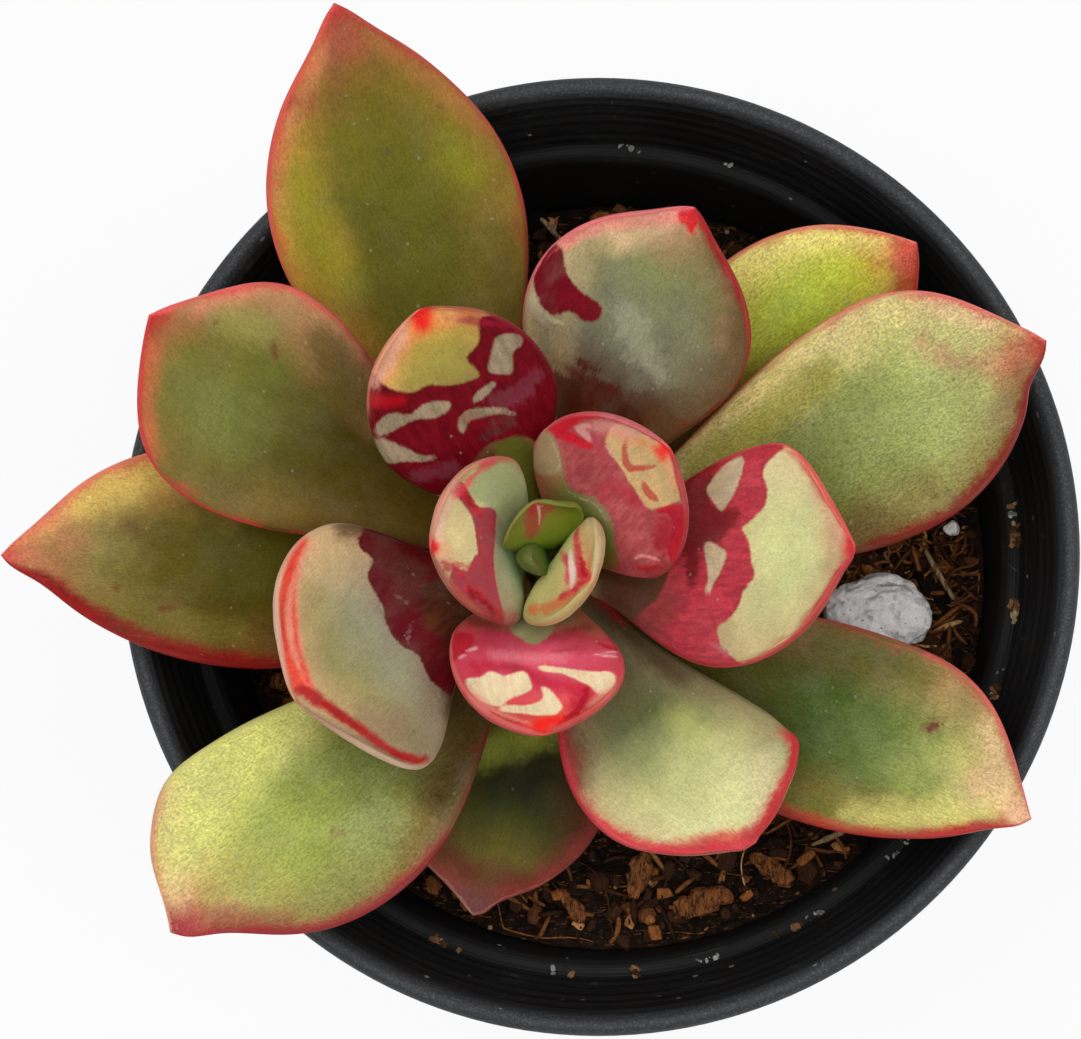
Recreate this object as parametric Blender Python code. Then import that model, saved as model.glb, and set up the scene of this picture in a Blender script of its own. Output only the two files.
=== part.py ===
"""A mottled echeveria growing in a round nursery pot.

Metres, +Z up. The origin is the centre of the pot's underside, and the pot's axis is Z. -Y is
the front. The plant grows from one short stem, a little to the left of the pot's axis. Its
leaves climb the stem by the golden angle, the oldest and widest at the bottom.
"""

import math
from dataclasses import dataclass

import bmesh
import bpy
from mathutils import Matrix, Vector

MM = 0.001
GAP = 0.3 * MM  # air between two pieces that touch

# Pot, turned about Z
POT_SIDES = 48
POT_HEIGHT = 88 * MM
WALL = 1.2 * MM
BASE_RADIUS = 35 * MM
FOOT_RING_WIDTH = 3 * MM
CENTRE_PAD_RADIUS = 14 * MM
FLOOR_LIFT = 2 * MM  # how far the drained part of the floor stands off the ground
LEDGE_HEIGHT = 74 * MM
LEDGE_INNER_RADIUS = 43.2 * MM
LEDGE_OUTER_RADIUS = 45.4 * MM
LIP_INNER_RADIUS = 47.9 * MM
LIP_RADIUS = 50 * MM
LIP_SKIRT = 5 * MM
RIDGE_COUNT = 6
RIDGE_DEPTH = 0.35 * MM
DRAIN_HOLES = 8
DRAIN_HOLE_RADIUS = 3.5 * MM
DRAIN_CIRCLE_RADIUS = 23 * MM

# Soil: its top is a plane that falls to the back and to the left
SOIL_HEIGHT = 64.2 * MM  # at the pot's axis
SOIL_RISE_RIGHT = 0.046
SOIL_RISE_BACK = -0.145
SOIL_RINGS = 8

# Stem
STEM_PLACE = Vector((-5.0, -1.1)) * MM
STEM_SIDES = 16
ROOT_DEPTH = 7 * MM
CROWN_RADIUS = 4 * MM
STEM_TOP = 91.5 * MM

# Leaves
GOLDEN_ANGLE = 137.5
FIRST_HEADING = 273
FIRST_FOOT_HEIGHT = 70 * MM
FOOT_STEP = 1.65 * MM  # from one leaf's foot up to the next, at the bottom of the stem
FOOT_STEP_SHRINK = 0.018 * MM  # the steps get shorter up the stem
LEAF_RINGS = 12
LEAF_SIDES = 14
FOOT_WIDTH_SHARE = 0.24  # a leaf's foot is this share of its greatest width
MUCRO_WIDTH = 1.1 * MM


@dataclass
class Leaf:
    """One leaf, in millimetres and degrees, with its heading seen from above."""

    name: str
    lean: float  # how far its heading is off the golden angle's
    reach: float  # from the stem's axis to the tip, seen from above
    tip_height: float
    width: float
    widest: float  # where along the leaf it is widest
    point: float  # 1 is a straight-sided tip, 0.5 a round one
    thickness: float = 4.5
    sag: float = 1.0  # how far the midrib hangs below a straight line to the tip
    sway: float = 0.0  # how far the midrib bows to its left
    cup: float = 0.15  # rise of the margins over the midrib, as a share of half the width
    swell: float = 0.5  # bulge of the upper face near the foot
    foot_radius: float = 3.0
    flare: float = 1.6  # how long the leaf stays narrow above its foot
    skew: float = 0.0  # how much further out the left margin is widest than the right one
    mucro: float = 1.3  # length of the small horny point


# From the oldest leaf, at the bottom of the stem, to the bud.
LEAVES = [
    Leaf("leaf_01_front_low", -16.5, 38, 80, 20.5, 0.7, 0.85, 4.5, 1.5, 1, flare=2.5, skew=-0.12),
    Leaf("leaf_02_back_right_low", -9, 50.5, 91, 23.5, 0.57, 0.62, sag=2, sway=0.7, skew=0.06),
    Leaf("leaf_03_left", -9, 55, 102, 22.8, 0.6, 0.85, 4, 0.4, -0.2, flare=1.8, skew=-0.06),
    Leaf("leaf_04_right_front", 6.5, 55, 97, 22.5, 0.57, 0.8, sag=2, sway=-1.1, flare=1.4, skew=0.15),
    Leaf("leaf_05_back", 8, 60.5, 103, 26, 0.64, 0.95, sag=1.5, sway=2.1, flare=3),
    Leaf("leaf_06_front_left", -16, 53, 102.5, 24.5, 0.71, 0.82, 4.5, -0.3, 0.9, flare=2.4, skew=-0.1),
    Leaf("leaf_07_right_back", 6, 54, 103, 24, 0.69, 0.72, sag=2, sway=-0.5, skew=0.03),
    Leaf("leaf_08_left_back", -7, 47, 106.5, 24, 0.75, 0.73, sag=1.2, sway=1.9, flare=2.5),
    Leaf("leaf_09_front_right", 13.5, 36, 97, 21.5, 0.74, 0.8, sag=1.5, sway=-1.8, skew=0.14),
    Leaf("leaf_10_back_middle", -3, 38.5, 103, 23.8, 0.66, 0.72, sag=2, sway=1.3, flare=2.5),
    Leaf("leaf_11_inner_left", 1.5, 28.5, 106, 26, 0.75, 0.44, 4.5, 1, -1.8, 0.25, flare=3.2, skew=0.08),
    Leaf("leaf_12_inner_right", 17, 30.4, 108, 22, 0.67, 0.72, 4.5, 1, -0.3, 0.2, flare=1.4, skew=0.12),
    Leaf("leaf_13_inner_back", -6.5, 27.7, 109, 19.2, 0.61, 0.46, 4.5, 1, 0.7, 0.2, flare=2.4, mucro=1),
    Leaf("leaf_14_inner_front", 9, 17.5, 107, 17.6, 0.56, 0.5, 4, -0.5, -1.2,
         cup=0.25, swell=0.4, foot_radius=3.2, flare=1.2, skew=0.1, mucro=0.7),
    Leaf("leaf_15_heart_right_back", 4, 16.3, 109.5, 18.8, 0.52, 0.45, 3.6, -0.5, 0.8,
         cup=0.2, swell=0.3, flare=1, mucro=0.7),
    Leaf("leaf_16_heart_left", -2, 11.4, 108.5, 16.7, 0.45, 0.32, 3.4, -1, -1.7,
         cup=0.25, swell=0.2, foot_radius=2.9, skew=-0.1, mucro=0.6),
    Leaf("leaf_17_heart_right_front", 18, 5.4, 106, 12.2, 0.52, 0.45, 3, -1, -0.6,
         swell=0.6, foot_radius=2.4, flare=2.2, mucro=0.5),
    Leaf("leaf_18_heart_back", 10, 5.5, 105, 7.7, 0.58, 0.4, 2, -0.3, -0.1,
         cup=0.1, swell=0.4, foot_radius=1.6, flare=2.6, mucro=0.5),
    Leaf("leaf_19_bud", -40, 1.8, 102.5, 2.8, 0.5, 0.5, 1, 0,
         cup=0.1, swell=0.3, foot_radius=0.7, mucro=0.4),
]

# Loose pieces on the soil: name, place (X, Y), length, width, height, turn about the slope's normal
PERLITE = [
    ("perlite_lump", (30.6, -5.9), 10.8, 8.0, 5.6, -12),
    ("perlite_crumb", (38.5, 3.6), 2.0, 1.8, 1.6, 0),
]
BARK_CHIPS = [
    ("bark_chip_1", (10.4, -37.5), 7.0, 3.6, 1.6, 20),
    ("bark_chip_2", (3.9, -34.5), 5.2, 3.2, 1.8, 75),
    ("bark_chip_3", (18.2, -33.6), 5.6, 2.6, 1.4, -35),
    ("bark_chip_4", (36.6, -11.5), 5.0, 2.4, 1.3, 60),
    ("bark_chip_5", (-35.0, -13.0), 4.6, 2.8, 1.4, 10),
    ("bark_chip_6", (-3.5, -38.0), 4.2, 2.2, 1.2, -50),
]
# Twigs: name, points (X, Y, height over the soil), radius
TWIGS = [
    ("twig_back", [(-7.4, 39.2, 3.6), (-5.8, 37.6, 2.2), (-4.2, 35.6, 0.5)], 0.35),
    ("twig_right", [(35.4, 1.4, 0.4), (36.9, -1.5, 1.1), (38.5, -4.2, 0.5)], 0.35),
    ("twig_front", [(22.5, -31.0, 0.5), (26.0, -29.6, 1.3), (29.6, -26.8, 0.6)], 0.35),
]


def clear_scene():
    for thing in list(bpy.data.objects):
        bpy.data.objects.remove(thing, do_unlink=True)


def material(name, colour, roughness, metallic=0.0):
    made = bpy.data.materials.new(name)
    made.use_nodes = True
    shader = made.node_tree.nodes["Principled BSDF"]
    shader.inputs["Base Color"].default_value = (*colour, 1)
    shader.inputs["Roughness"].default_value = roughness
    shader.inputs["Metallic"].default_value = metallic
    return made


def add_object(name, mesh_builder, finish, smooth_below=40):
    """Turns a bmesh into a named object with faces that point out."""
    bmesh.ops.recalc_face_normals(mesh_builder, faces=mesh_builder.faces)
    mesh = bpy.data.meshes.new(name)
    mesh_builder.to_mesh(mesh)
    mesh_builder.free()
    mesh.materials.append(finish)
    mesh.shade_smooth()
    mesh.set_sharp_from_angle(angle=math.radians(smooth_below))
    made = bpy.data.objects.new(name, mesh)
    bpy.context.scene.collection.objects.link(made)
    return made


def bridge_loops(builder, loops):
    """Skins a stack of closed loops that have the same number of points."""
    for lower, upper in zip(loops, loops[1:]):
        count = len(lower)
        for i in range(count):
            j = (i + 1) % count
            builder.faces.new((lower[i], lower[j], upper[j], upper[i]))


def cap_loop(builder, loop, tip):
    """Closes a loop with a fan of triangles to one point."""
    for i, corner in enumerate(loop):
        builder.faces.new((corner, loop[(i + 1) % len(loop)], tip))


def turned(name, outline, sides, finish):
    """A turned solid: the outline is (radius, height) points, and it starts and ends on Z."""
    builder = bmesh.new()
    loops = []
    steps = [2 * math.pi * k / sides for k in range(sides)]
    for radius, height in outline[1:-1]:
        loop = [(radius * math.cos(a), radius * math.sin(a), height) for a in steps]
        loops.append([builder.verts.new(point) for point in loop])
    bridge_loops(builder, loops)
    cap_loop(builder, loops[0], builder.verts.new((0, 0, outline[0][1])))
    cap_loop(builder, loops[-1], builder.verts.new((0, 0, outline[-1][1])))
    return add_object(name, builder, finish)


def inner_wall_radius(height):
    """Radius of the inside of the pot's tapered wall, below the ledge."""
    share = height / LEDGE_HEIGHT
    return BASE_RADIUS - WALL + share * (LEDGE_INNER_RADIUS - BASE_RADIUS + WALL)


def ridged_collar():
    """The inside of the collar from the lip down to the ledge, with its moulded ridges."""
    top, bottom = POT_HEIGHT - 1.6 * MM, LEDGE_HEIGHT + 1.0 * MM
    step = (top - bottom) / RIDGE_COUNT
    points = []
    for k in range(RIDGE_COUNT):
        for share, depth in ((0.0, 0.0), (0.45, RIDGE_DEPTH)):
            height = top - (k + share) * step
            taper = (height - LEDGE_HEIGHT) / (POT_HEIGHT - LEDGE_HEIGHT)
            radius = LEDGE_OUTER_RADIUS + taper * (LIP_INNER_RADIUS - LEDGE_OUTER_RADIUS)
            points.append((radius - depth, height))
    return points


def pot_outline():
    """Half of the pot's section, from the middle of the underside round to the middle of the floor."""
    ring_inner = BASE_RADIUS - FOOT_RING_WIDTH
    collar_outer = LEDGE_OUTER_RADIUS + WALL
    underside = [(0, 0), (CENTRE_PAD_RADIUS, 0), (CENTRE_PAD_RADIUS + FLOOR_LIFT, FLOOR_LIFT)]
    underside += [(ring_inner - FLOOR_LIFT, FLOOR_LIFT), (ring_inner, 0), (BASE_RADIUS - WALL / 2, 0)]
    outside = [(BASE_RADIUS, 0.8 * MM), (LEDGE_INNER_RADIUS + WALL * 0.9, LEDGE_HEIGHT - 2.5 * MM)]
    outside += [(collar_outer, LEDGE_HEIGHT - 1.2 * MM), (LIP_RADIUS - 2.2 * MM, POT_HEIGHT - LIP_SKIRT)]
    lip = [(LIP_RADIUS - 0.3 * MM, POT_HEIGHT - LIP_SKIRT), (LIP_RADIUS, POT_HEIGHT - LIP_SKIRT + 0.5 * MM)]
    lip += [(LIP_RADIUS, POT_HEIGHT - 0.9 * MM), (LIP_RADIUS - 0.5 * MM, POT_HEIGHT - 0.15 * MM)]
    lip += [(LIP_RADIUS - 1.1 * MM, POT_HEIGHT), (LIP_INNER_RADIUS + 0.4 * MM, POT_HEIGHT - 0.2 * MM)]
    ledge = [(LEDGE_OUTER_RADIUS, LEDGE_HEIGHT), (LEDGE_INNER_RADIUS + 0.4 * MM, LEDGE_HEIGHT)]
    ledge += [(inner_wall_radius(LEDGE_HEIGHT - 0.5 * MM), LEDGE_HEIGHT - 0.5 * MM)]
    floor_top = FLOOR_LIFT + WALL
    inside = [(inner_wall_radius(floor_top), floor_top)]
    inside += [(CENTRE_PAD_RADIUS + FLOOR_LIFT - WALL / 2, floor_top)]
    inside += [(CENTRE_PAD_RADIUS - WALL / 2, WALL), (0, WALL)]
    return underside + outside + lip + ridged_collar() + ledge + inside


def build_pot(finish):
    """The pot, with its drain holes cut through the raised part of the floor."""
    pot = turned("nursery_pot", pot_outline(), POT_SIDES, finish)
    builder = bmesh.new()
    for k in range(DRAIN_HOLES):
        turn = Matrix.Rotation(2 * math.pi * (k + 0.5) / DRAIN_HOLES, 4, "Z")
        place = turn @ Matrix.Translation((DRAIN_CIRCLE_RADIUS, 0, FLOOR_LIFT))
        sizes = {"radius1": DRAIN_HOLE_RADIUS, "radius2": DRAIN_HOLE_RADIUS, "depth": 6 * MM}
        bmesh.ops.create_cone(builder, cap_ends=True, segments=14, matrix=place, **sizes)
    cutters = add_object("drain_hole_cutters", builder, finish)
    cutters.hide_render = True
    cutters.display_type = "WIRE"
    cut = pot.modifiers.new("drain holes", "BOOLEAN")
    cut.operation = "DIFFERENCE"
    cut.object = cutters


def soil_height(x, y):
    """Height of the soil's top above the point (x, y)."""
    return SOIL_HEIGHT + SOIL_RISE_RIGHT * x + SOIL_RISE_BACK * y


def soil_edge(angle):
    """Where the soil's top meets the pot's wall in one direction, GAP short of it."""
    radius = inner_wall_radius(SOIL_HEIGHT)
    for _ in range(8):
        height = soil_height(radius * math.cos(angle), radius * math.sin(angle))
        radius = inner_wall_radius(height) - GAP
    return radius


def stem_radius(height):
    """Radius of the stem: a root crown in the soil, then a taper to the growing tip."""
    ground = soil_height(*STEM_PLACE)
    for low, high, r_low, r_high in (
        (ground - ROOT_DEPTH, ground, CROWN_RADIUS * 0.6, CROWN_RADIUS),
        (ground, ground + 3 * MM, CROWN_RADIUS, 2.6 * MM),
        (ground + 3 * MM, 74 * MM, 2.6 * MM, 2.6 * MM),
        (74 * MM, 88 * MM, 2.6 * MM, 2.0 * MM),
        (88 * MM, STEM_TOP, 2.0 * MM, 0.7 * MM),
    ):
        if height <= high:
            share = max(0.0, (height - low) / (high - low))
            return r_low + share * (r_high - r_low)
    return 0.7 * MM


def stem_outline():
    ground = soil_height(*STEM_PLACE)
    heights = [ground - ROOT_DEPTH, ground - 4 * MM, ground, ground + 3 * MM, 74 * MM]
    heights += [81 * MM, 88 * MM, 90 * MM, STEM_TOP]
    rings = [(stem_radius(height), height) for height in heights]
    return [(0, heights[0])] + rings + [(0, STEM_TOP + 0.4 * MM)]


def build_stem(finish):
    stem = turned("stem", stem_outline(), STEM_SIDES, finish)
    stem.location = (*STEM_PLACE, 0)


def build_soil(finish):
    """The soil fills the pot from its floor, and its top has a socket for the root crown."""
    builder = bmesh.new()
    angles = [2 * math.pi * k / POT_SIDES for k in range(POT_SIDES)]
    socket_radius = CROWN_RADIUS + GAP
    socket_floor = soil_height(*STEM_PLACE) - ROOT_DEPTH - GAP
    floor_height = FLOOR_LIFT + WALL + GAP

    def ring(radius, height):
        return [builder.verts.new((radius * math.cos(a), radius * math.sin(a), height)) for a in angles]

    def top_ring(share):
        """Rings that open out from round the stem to the pot's wall."""
        loop = []
        for a in angles:
            near = STEM_PLACE + socket_radius * Vector((math.cos(a), math.sin(a)))
            far = soil_edge(a) * Vector((math.cos(a), math.sin(a)))
            x, y = near.lerp(far, share)
            loop.append(builder.verts.new((x, y, soil_height(x, y))))
        return loop

    floor = ring(inner_wall_radius(floor_height) - GAP, floor_height)
    tops = [top_ring(1 - (1 - k / SOIL_RINGS) ** 0.8) for k in range(SOIL_RINGS + 1)]
    socket = []
    for corner in tops[0]:
        socket.append(builder.verts.new((corner.co.x, corner.co.y, socket_floor)))
    loops = [floor] + tops[::-1] + [socket]
    bridge_loops(builder, loops)
    cap_loop(builder, floor, builder.verts.new((0, 0, floor_height)))
    cap_loop(builder, socket, builder.verts.new((*STEM_PLACE, socket_floor)))
    add_object("soil", builder, finish)


def blade_share(leaf, side, along, length):
    """Half width along the leaf, on its left (1) or right (-1) side, as a share of the greatest."""
    mucro_length = leaf.mucro * MM
    widest = leaf.widest + side * leaf.skew
    place = min(along / (1 - mucro_length / length), 1)
    if place < widest:
        opening = math.sin(math.pi / 2 * place / widest) ** leaf.flare
        share = FOOT_WIDTH_SHARE + (1 - FOOT_WIDTH_SHARE) * opening
    else:
        closing = (place - widest) / (1 - widest)
        share = (1 - closing**2.2) ** leaf.point
    mucro = MUCRO_WIDTH / (leaf.width * MM) * min(1, (1 - along) * length / mucro_length)
    return max(share, mucro)


def thickness_share(along):
    """Thickness along the leaf, as a share of the design thickness: thin foot, full middle, thin tip."""
    body = 0.5 + 1.9 * along * (1 - along) ** 1.2
    closing = math.sqrt(1 - 0.9 * along**6) * math.sqrt(min(1, (1 - along) / 0.06))
    return body * closing


def leaf_rings(leaf, order):
    """The leaf's foot, the rings of points round its blade, and its tip."""
    heading = math.radians(FIRST_HEADING + GOLDEN_ANGLE * order + leaf.lean)
    out = Vector((math.cos(heading), math.sin(heading), 0))
    left = Vector((-out.y, out.x, 0))
    foot_height = FIRST_FOOT_HEIGHT + FOOT_STEP * order - FOOT_STEP_SHRINK * order**2
    axis = Vector((*STEM_PLACE, 0))
    foot = axis + out * leaf.foot_radius * MM + Vector((0, 0, foot_height))
    tip = axis + out * leaf.reach * MM + Vector((0, 0, leaf.tip_height * MM))
    span = tip - foot
    length = span.length
    over = span.normalized().cross(left)
    middle = (foot + tip) / 2 + (left * leaf.sway - over * leaf.sag) * 2 * MM
    rings = []
    for k in range(LEAF_RINGS):
        along = 1 - (1 - k / LEAF_RINGS) ** 1.5
        centre = foot * (1 - along) ** 2 + middle * 2 * along * (1 - along) + tip * along**2
        onward = ((middle - foot) * (1 - along) + (tip - middle) * along).normalized()
        side = (left - onward * onward.dot(left)).normalized()
        up = onward.cross(side)
        half_widths = [leaf.width / 2 * MM * blade_share(leaf, s, along, length) for s in (-1, 1)]
        depth = leaf.thickness * MM * thickness_share(along)
        crown = depth * (0.08 + leaf.swell * math.sin(math.pi * along**0.6))
        cup = leaf.cup * (0.5 + 0.5 * along)
        ring = []
        for n in range(LEAF_SIDES):
            angle = 2 * math.pi * n / LEAF_SIDES
            across, around = math.cos(angle), math.sin(angle)
            half_width = half_widths[across > 0]
            offset = around * (crown if around > 0 else depth)
            lean = math.atan(2 * cup * across)  # the cupped face leans inwards
            sideways = half_width * across - offset * math.sin(lean)
            upward = half_width * cup * across**2 + offset * math.cos(lean)
            ring.append(centre + side * sideways + up * upward)
        rings.append(ring)
    return foot, rings, tip


def build_leaf(leaf, order, finish):
    builder = bmesh.new()
    foot, rings, tip = leaf_rings(leaf, order)
    loops = [[builder.verts.new(point) for point in ring] for ring in rings]
    bridge_loops(builder, loops)
    cap_loop(builder, loops[0], builder.verts.new(foot))
    cap_loop(builder, loops[-1], builder.verts.new(tip))
    add_object(leaf.name, builder, finish, smooth_below=70)


def slope_frame(x, y):
    """A frame that lies on the soil's slope at (x, y), with its Z square to it."""
    normal = Vector((-SOIL_RISE_RIGHT, -SOIL_RISE_BACK, 1)).normalized()
    tilt = Vector((0, 0, 1)).rotation_difference(normal).to_matrix().to_4x4()
    return Matrix.Translation((x, y, soil_height(x, y))) @ tilt


def lay_on_soil(piece, place, turn):
    """Turns a piece on the slope and sets its lowest point GAP above the soil."""
    x, y = Vector(place) * MM
    lowest = min(corner.co.z for corner in piece.data.vertices)
    spin = Matrix.Rotation(math.radians(turn), 4, "Z")
    piece.matrix_world = slope_frame(x, y) @ Matrix.Translation((0, 0, GAP - lowest)) @ spin


def build_perlite(name, place, length, width, height, turn, finish):
    """A puffed grain: a ball pushed in and out by a few slow waves."""
    builder = bmesh.new()
    bmesh.ops.create_icosphere(builder, subdivisions=2, radius=0.5)
    for corner in builder.verts:
        x, y, z = corner.co * 2
        lump = 1 + 0.12 * math.sin(5 * x + 2 * y) + 0.1 * math.cos(6 * y - 3 * z)
        lump += 0.08 * math.sin(7 * z + 4 * x)
        corner.co = Vector((x * length, y * width, z * height)) * 0.5 * MM * lump
    lay_on_soil(add_object(name, builder, finish), place, turn)


def build_bark_chip(name, place, length, width, height, turn, finish):
    """A flake of bark: a slab with tapered ends and one raised corner."""
    builder = bmesh.new()
    bmesh.ops.create_cube(builder, size=1)
    bmesh.ops.subdivide_edges(builder, edges=builder.edges, cuts=1, use_grid_fill=True)
    for corner in builder.verts:
        x, y, z = corner.co
        taper = 1 - 0.5 * abs(2 * x) ** 2
        lift = 0.25 * (x + 0.5) * (y + 0.5)
        corner.co = Vector((x * length, y * width * taper, (z * taper + lift) * height)) * MM
    lay_on_soil(add_object(name, builder, finish, smooth_below=30), place, turn)


def build_twig(name, points, radius, finish):
    """A bent twig, as a round curve with closed ends."""
    curve = bpy.data.curves.new(name, "CURVE")
    curve.dimensions = "3D"
    curve.bevel_depth = radius * MM
    curve.bevel_resolution = 1
    curve.use_fill_caps = True
    spline = curve.splines.new("POLY")
    spline.points.add(len(points) - 1)
    for target, (x, y, rise) in zip(spline.points, points):
        height = soil_height(x * MM, y * MM) + (rise + radius) * MM
        target.co = (x * MM, y * MM, height, 1)
        target.radius = 1
    curve.materials.append(finish)
    made = bpy.data.objects.new(name, curve)
    bpy.context.scene.collection.objects.link(made)


def leaf_colour(order):
    """Green old leaves, and pinker ones towards the heart."""
    share = order / (len(LEAVES) - 1)
    green, pink = Vector((0.24, 0.27, 0.07)), Vector((0.55, 0.22, 0.16))
    return green.lerp(pink, share**2)


def main():
    clear_scene()
    build_pot(material("black polypropylene", (0.02, 0.022, 0.026), 0.45))
    build_soil(material("potting mix", (0.05, 0.03, 0.018), 0.95))
    build_stem(material("stem", (0.18, 0.2, 0.08), 0.6))
    for order, leaf in enumerate(LEAVES):
        build_leaf(leaf, order, material(leaf.name, leaf_colour(order), 0.45))
    white = material("perlite", (0.72, 0.68, 0.64), 0.9)
    for grain in PERLITE:
        build_perlite(*grain, white)
    bark = material("bark", (0.3, 0.15, 0.06), 0.85)
    for chip in BARK_CHIPS:
        build_bark_chip(*chip, bark)
    straw = material("dry twig", (0.32, 0.2, 0.1), 0.8)
    for twig in TWIGS:
        build_twig(*twig, straw)


main()
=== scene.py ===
"""Looks for the potted mottled echeveria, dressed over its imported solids.

Work is done in millimetres and turned into metres when a mesh is made. A place on a leaf is
(along, across): along runs from 0 at the foot to 1 at the tip, and across from -1 at the right
margin to 1 at the left one, looking from the stem to the tip with the upper face up.
"""

import math
import random
from dataclasses import dataclass, field

import bmesh
import bpy
import numpy as np
from mathutils import Matrix, Vector, kdtree


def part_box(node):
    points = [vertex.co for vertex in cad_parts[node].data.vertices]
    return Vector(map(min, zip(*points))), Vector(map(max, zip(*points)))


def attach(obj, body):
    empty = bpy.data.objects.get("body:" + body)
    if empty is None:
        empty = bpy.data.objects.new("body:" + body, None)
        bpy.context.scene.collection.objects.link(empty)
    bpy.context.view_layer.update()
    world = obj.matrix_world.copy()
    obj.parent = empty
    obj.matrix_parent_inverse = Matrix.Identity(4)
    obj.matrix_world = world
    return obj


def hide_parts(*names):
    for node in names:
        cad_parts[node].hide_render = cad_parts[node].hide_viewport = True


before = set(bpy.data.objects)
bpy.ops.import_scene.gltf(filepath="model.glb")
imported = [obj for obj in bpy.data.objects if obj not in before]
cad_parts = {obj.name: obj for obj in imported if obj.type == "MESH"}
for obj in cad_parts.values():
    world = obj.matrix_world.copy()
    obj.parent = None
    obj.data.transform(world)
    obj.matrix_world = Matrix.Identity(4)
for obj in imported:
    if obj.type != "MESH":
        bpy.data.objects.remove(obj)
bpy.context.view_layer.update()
MM = 0.001
CROSS_POINTS = 14  # points round each ring of a leaf's solid
HASH_STEPS = (374761393, 668265263, 2147483647)  # large odd numbers keep near cells apart
HASH_SEED_STEP = 974634777


# ---------------------------------------------------------------- small tools

def srgb(red, green, blue):
    """A colour given as screen values from 0 to 255, as linear light."""
    shares = [v / 255 for v in (red, green, blue)]
    return tuple(v / 12.92 if v <= 0.04045 else ((v + 0.055) / 1.055) ** 2.4 for v in shares)


def smooth_step(low, high, value):
    share = np.clip((value - low) / (high - low), 0, 1)
    return share * share * (3 - 2 * share)


def lattice(cells, seed):
    """A repeatable random number from -1 to 1 for each whole-number cell."""
    x, y, z = (cells[..., axis] * HASH_STEPS[axis] for axis in range(3))
    mixed = (x + y + z + seed * HASH_SEED_STEP).astype(np.int64) & 0xFFFFFFFF
    with np.errstate(over="ignore"):
        mixed = ((mixed ^ (mixed >> 13)) * 1274126177) & 0xFFFFFFFF
        mixed = ((mixed ^ (mixed >> 16)) * 2246822519) & 0xFFFFFFFF
    return (mixed ^ (mixed >> 15)) / 0x7FFFFFFF - 1


def soft_noise(points, size, seed=0, octaves=1):
    """Smooth noise from about -1 to 1, with bumps of about that size."""
    total, weight = 0, 1.0
    for octave in range(octaves):
        place = points / size * 2**octave
        cell = np.floor(place).astype(np.int64)
        blend = place - cell
        blend = blend * blend * (3 - 2 * blend)
        value = 0
        for corner in range(8):
            step = np.array([corner & 1, corner >> 1 & 1, corner >> 2 & 1])
            share = np.prod(np.where(step, blend, 1 - blend), axis=-1)
            value = value + share * lattice(cell + step, seed + octave)
        total = total + weight * value
        weight *= 0.5
    return total


def spline_weights(count, places, closed=False):
    """Rows of weights that run a cubic spline through `count` evenly spaced values."""
    system, bends = np.zeros((count, count)), np.zeros((count, count))
    for i in range(count):
        if not closed and i in (0, count - 1):
            system[i, i] = 1
            continue
        for step, near, second in ((-1, 1, 6), (0, 4, -12), (1, 1, 6)):
            system[i, (i + step) % count] += near
            bends[i, (i + step) % count] += second
    curvature = np.linalg.solve(system, bends)
    places = np.asarray(places, float)
    if closed:
        places = places % count
        left = np.floor(places).astype(int) % count
    else:
        left = np.clip(np.floor(places).astype(int), 0, count - 2)
    right = (left + 1) % count
    t = (places - left)[:, None]
    pick = np.eye(count)
    weights = (1 - t) * pick[left] + t * pick[right]
    weights += ((1 - t) ** 3 - (1 - t)) / 6 * curvature[left]
    weights += (t**3 - t) / 6 * curvature[right]
    return weights


def solid_points(node):
    """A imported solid's points in millimetres, each kept once, and its triangles."""
    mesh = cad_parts[node].data
    raw = np.empty(len(mesh.vertices) * 3, np.float32)
    mesh.vertices.foreach_get("co", raw)
    points, index = np.unique(np.round(raw.reshape(-1, 3) / MM, 3), axis=0, return_inverse=True)
    mesh.calc_loop_triangles()
    corners = np.empty(len(mesh.loop_triangles) * 3, np.int32)
    mesh.loop_triangles.foreach_get("vertices", corners)
    return points, index.reshape(-1)[corners.reshape(-1, 3)]


def neighbours_of(points, faces):
    near = [set() for _ in points]
    for a, b, c in faces:
        near[a] |= {b, c}
        near[b] |= {a, c}
        near[c] |= {a, b}
    return near


def mesh_piece(name, points, faces, finish, stands_for=(), fields=None, sharp=None):
    """A mesh object from points in millimetres, riding on the plant's one body."""
    mesh = bpy.data.meshes.new(name)
    mesh.from_pydata((np.asarray(points) * MM).tolist(), [], faces)
    mesh.validate()
    for label, values in (fields or {}).items():
        values = np.asarray(values, np.float32)
        kind, key = ("FLOAT", "value") if values.ndim == 1 else ("FLOAT_VECTOR", "vector")
        mesh.attributes.new(label, kind, "POINT").data.foreach_set(key, values.reshape(-1))
    mesh.materials.append(finish)
    mesh.shade_smooth()
    if sharp:
        mesh.set_sharp_from_angle(angle=math.radians(sharp))
    piece = bpy.data.objects.new(name, mesh)
    bpy.context.scene.collection.objects.link(piece)
    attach(piece, "root")
    if stands_for:
        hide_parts(*stands_for)
    return piece


def grid_faces(rows, columns, closed=True):
    """Quads over a grid of points kept row by row."""
    faces = []
    for i in range(rows - 1):
        for j in range(columns if closed else columns - 1):
            k = (j + 1) % columns
            low, high = i * columns, (i + 1) * columns
            faces.append((low + j, low + k, high + k, high + j))
    return faces


def end_faces(columns, foot, peak, last):
    """Triangles from a grid's first row to one point, and from its last row to another."""
    faces = []
    for j in range(columns):
        k = (j + 1) % columns
        faces += [(foot, k, j), (peak, last + j, last + k)]
    return faces


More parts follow.
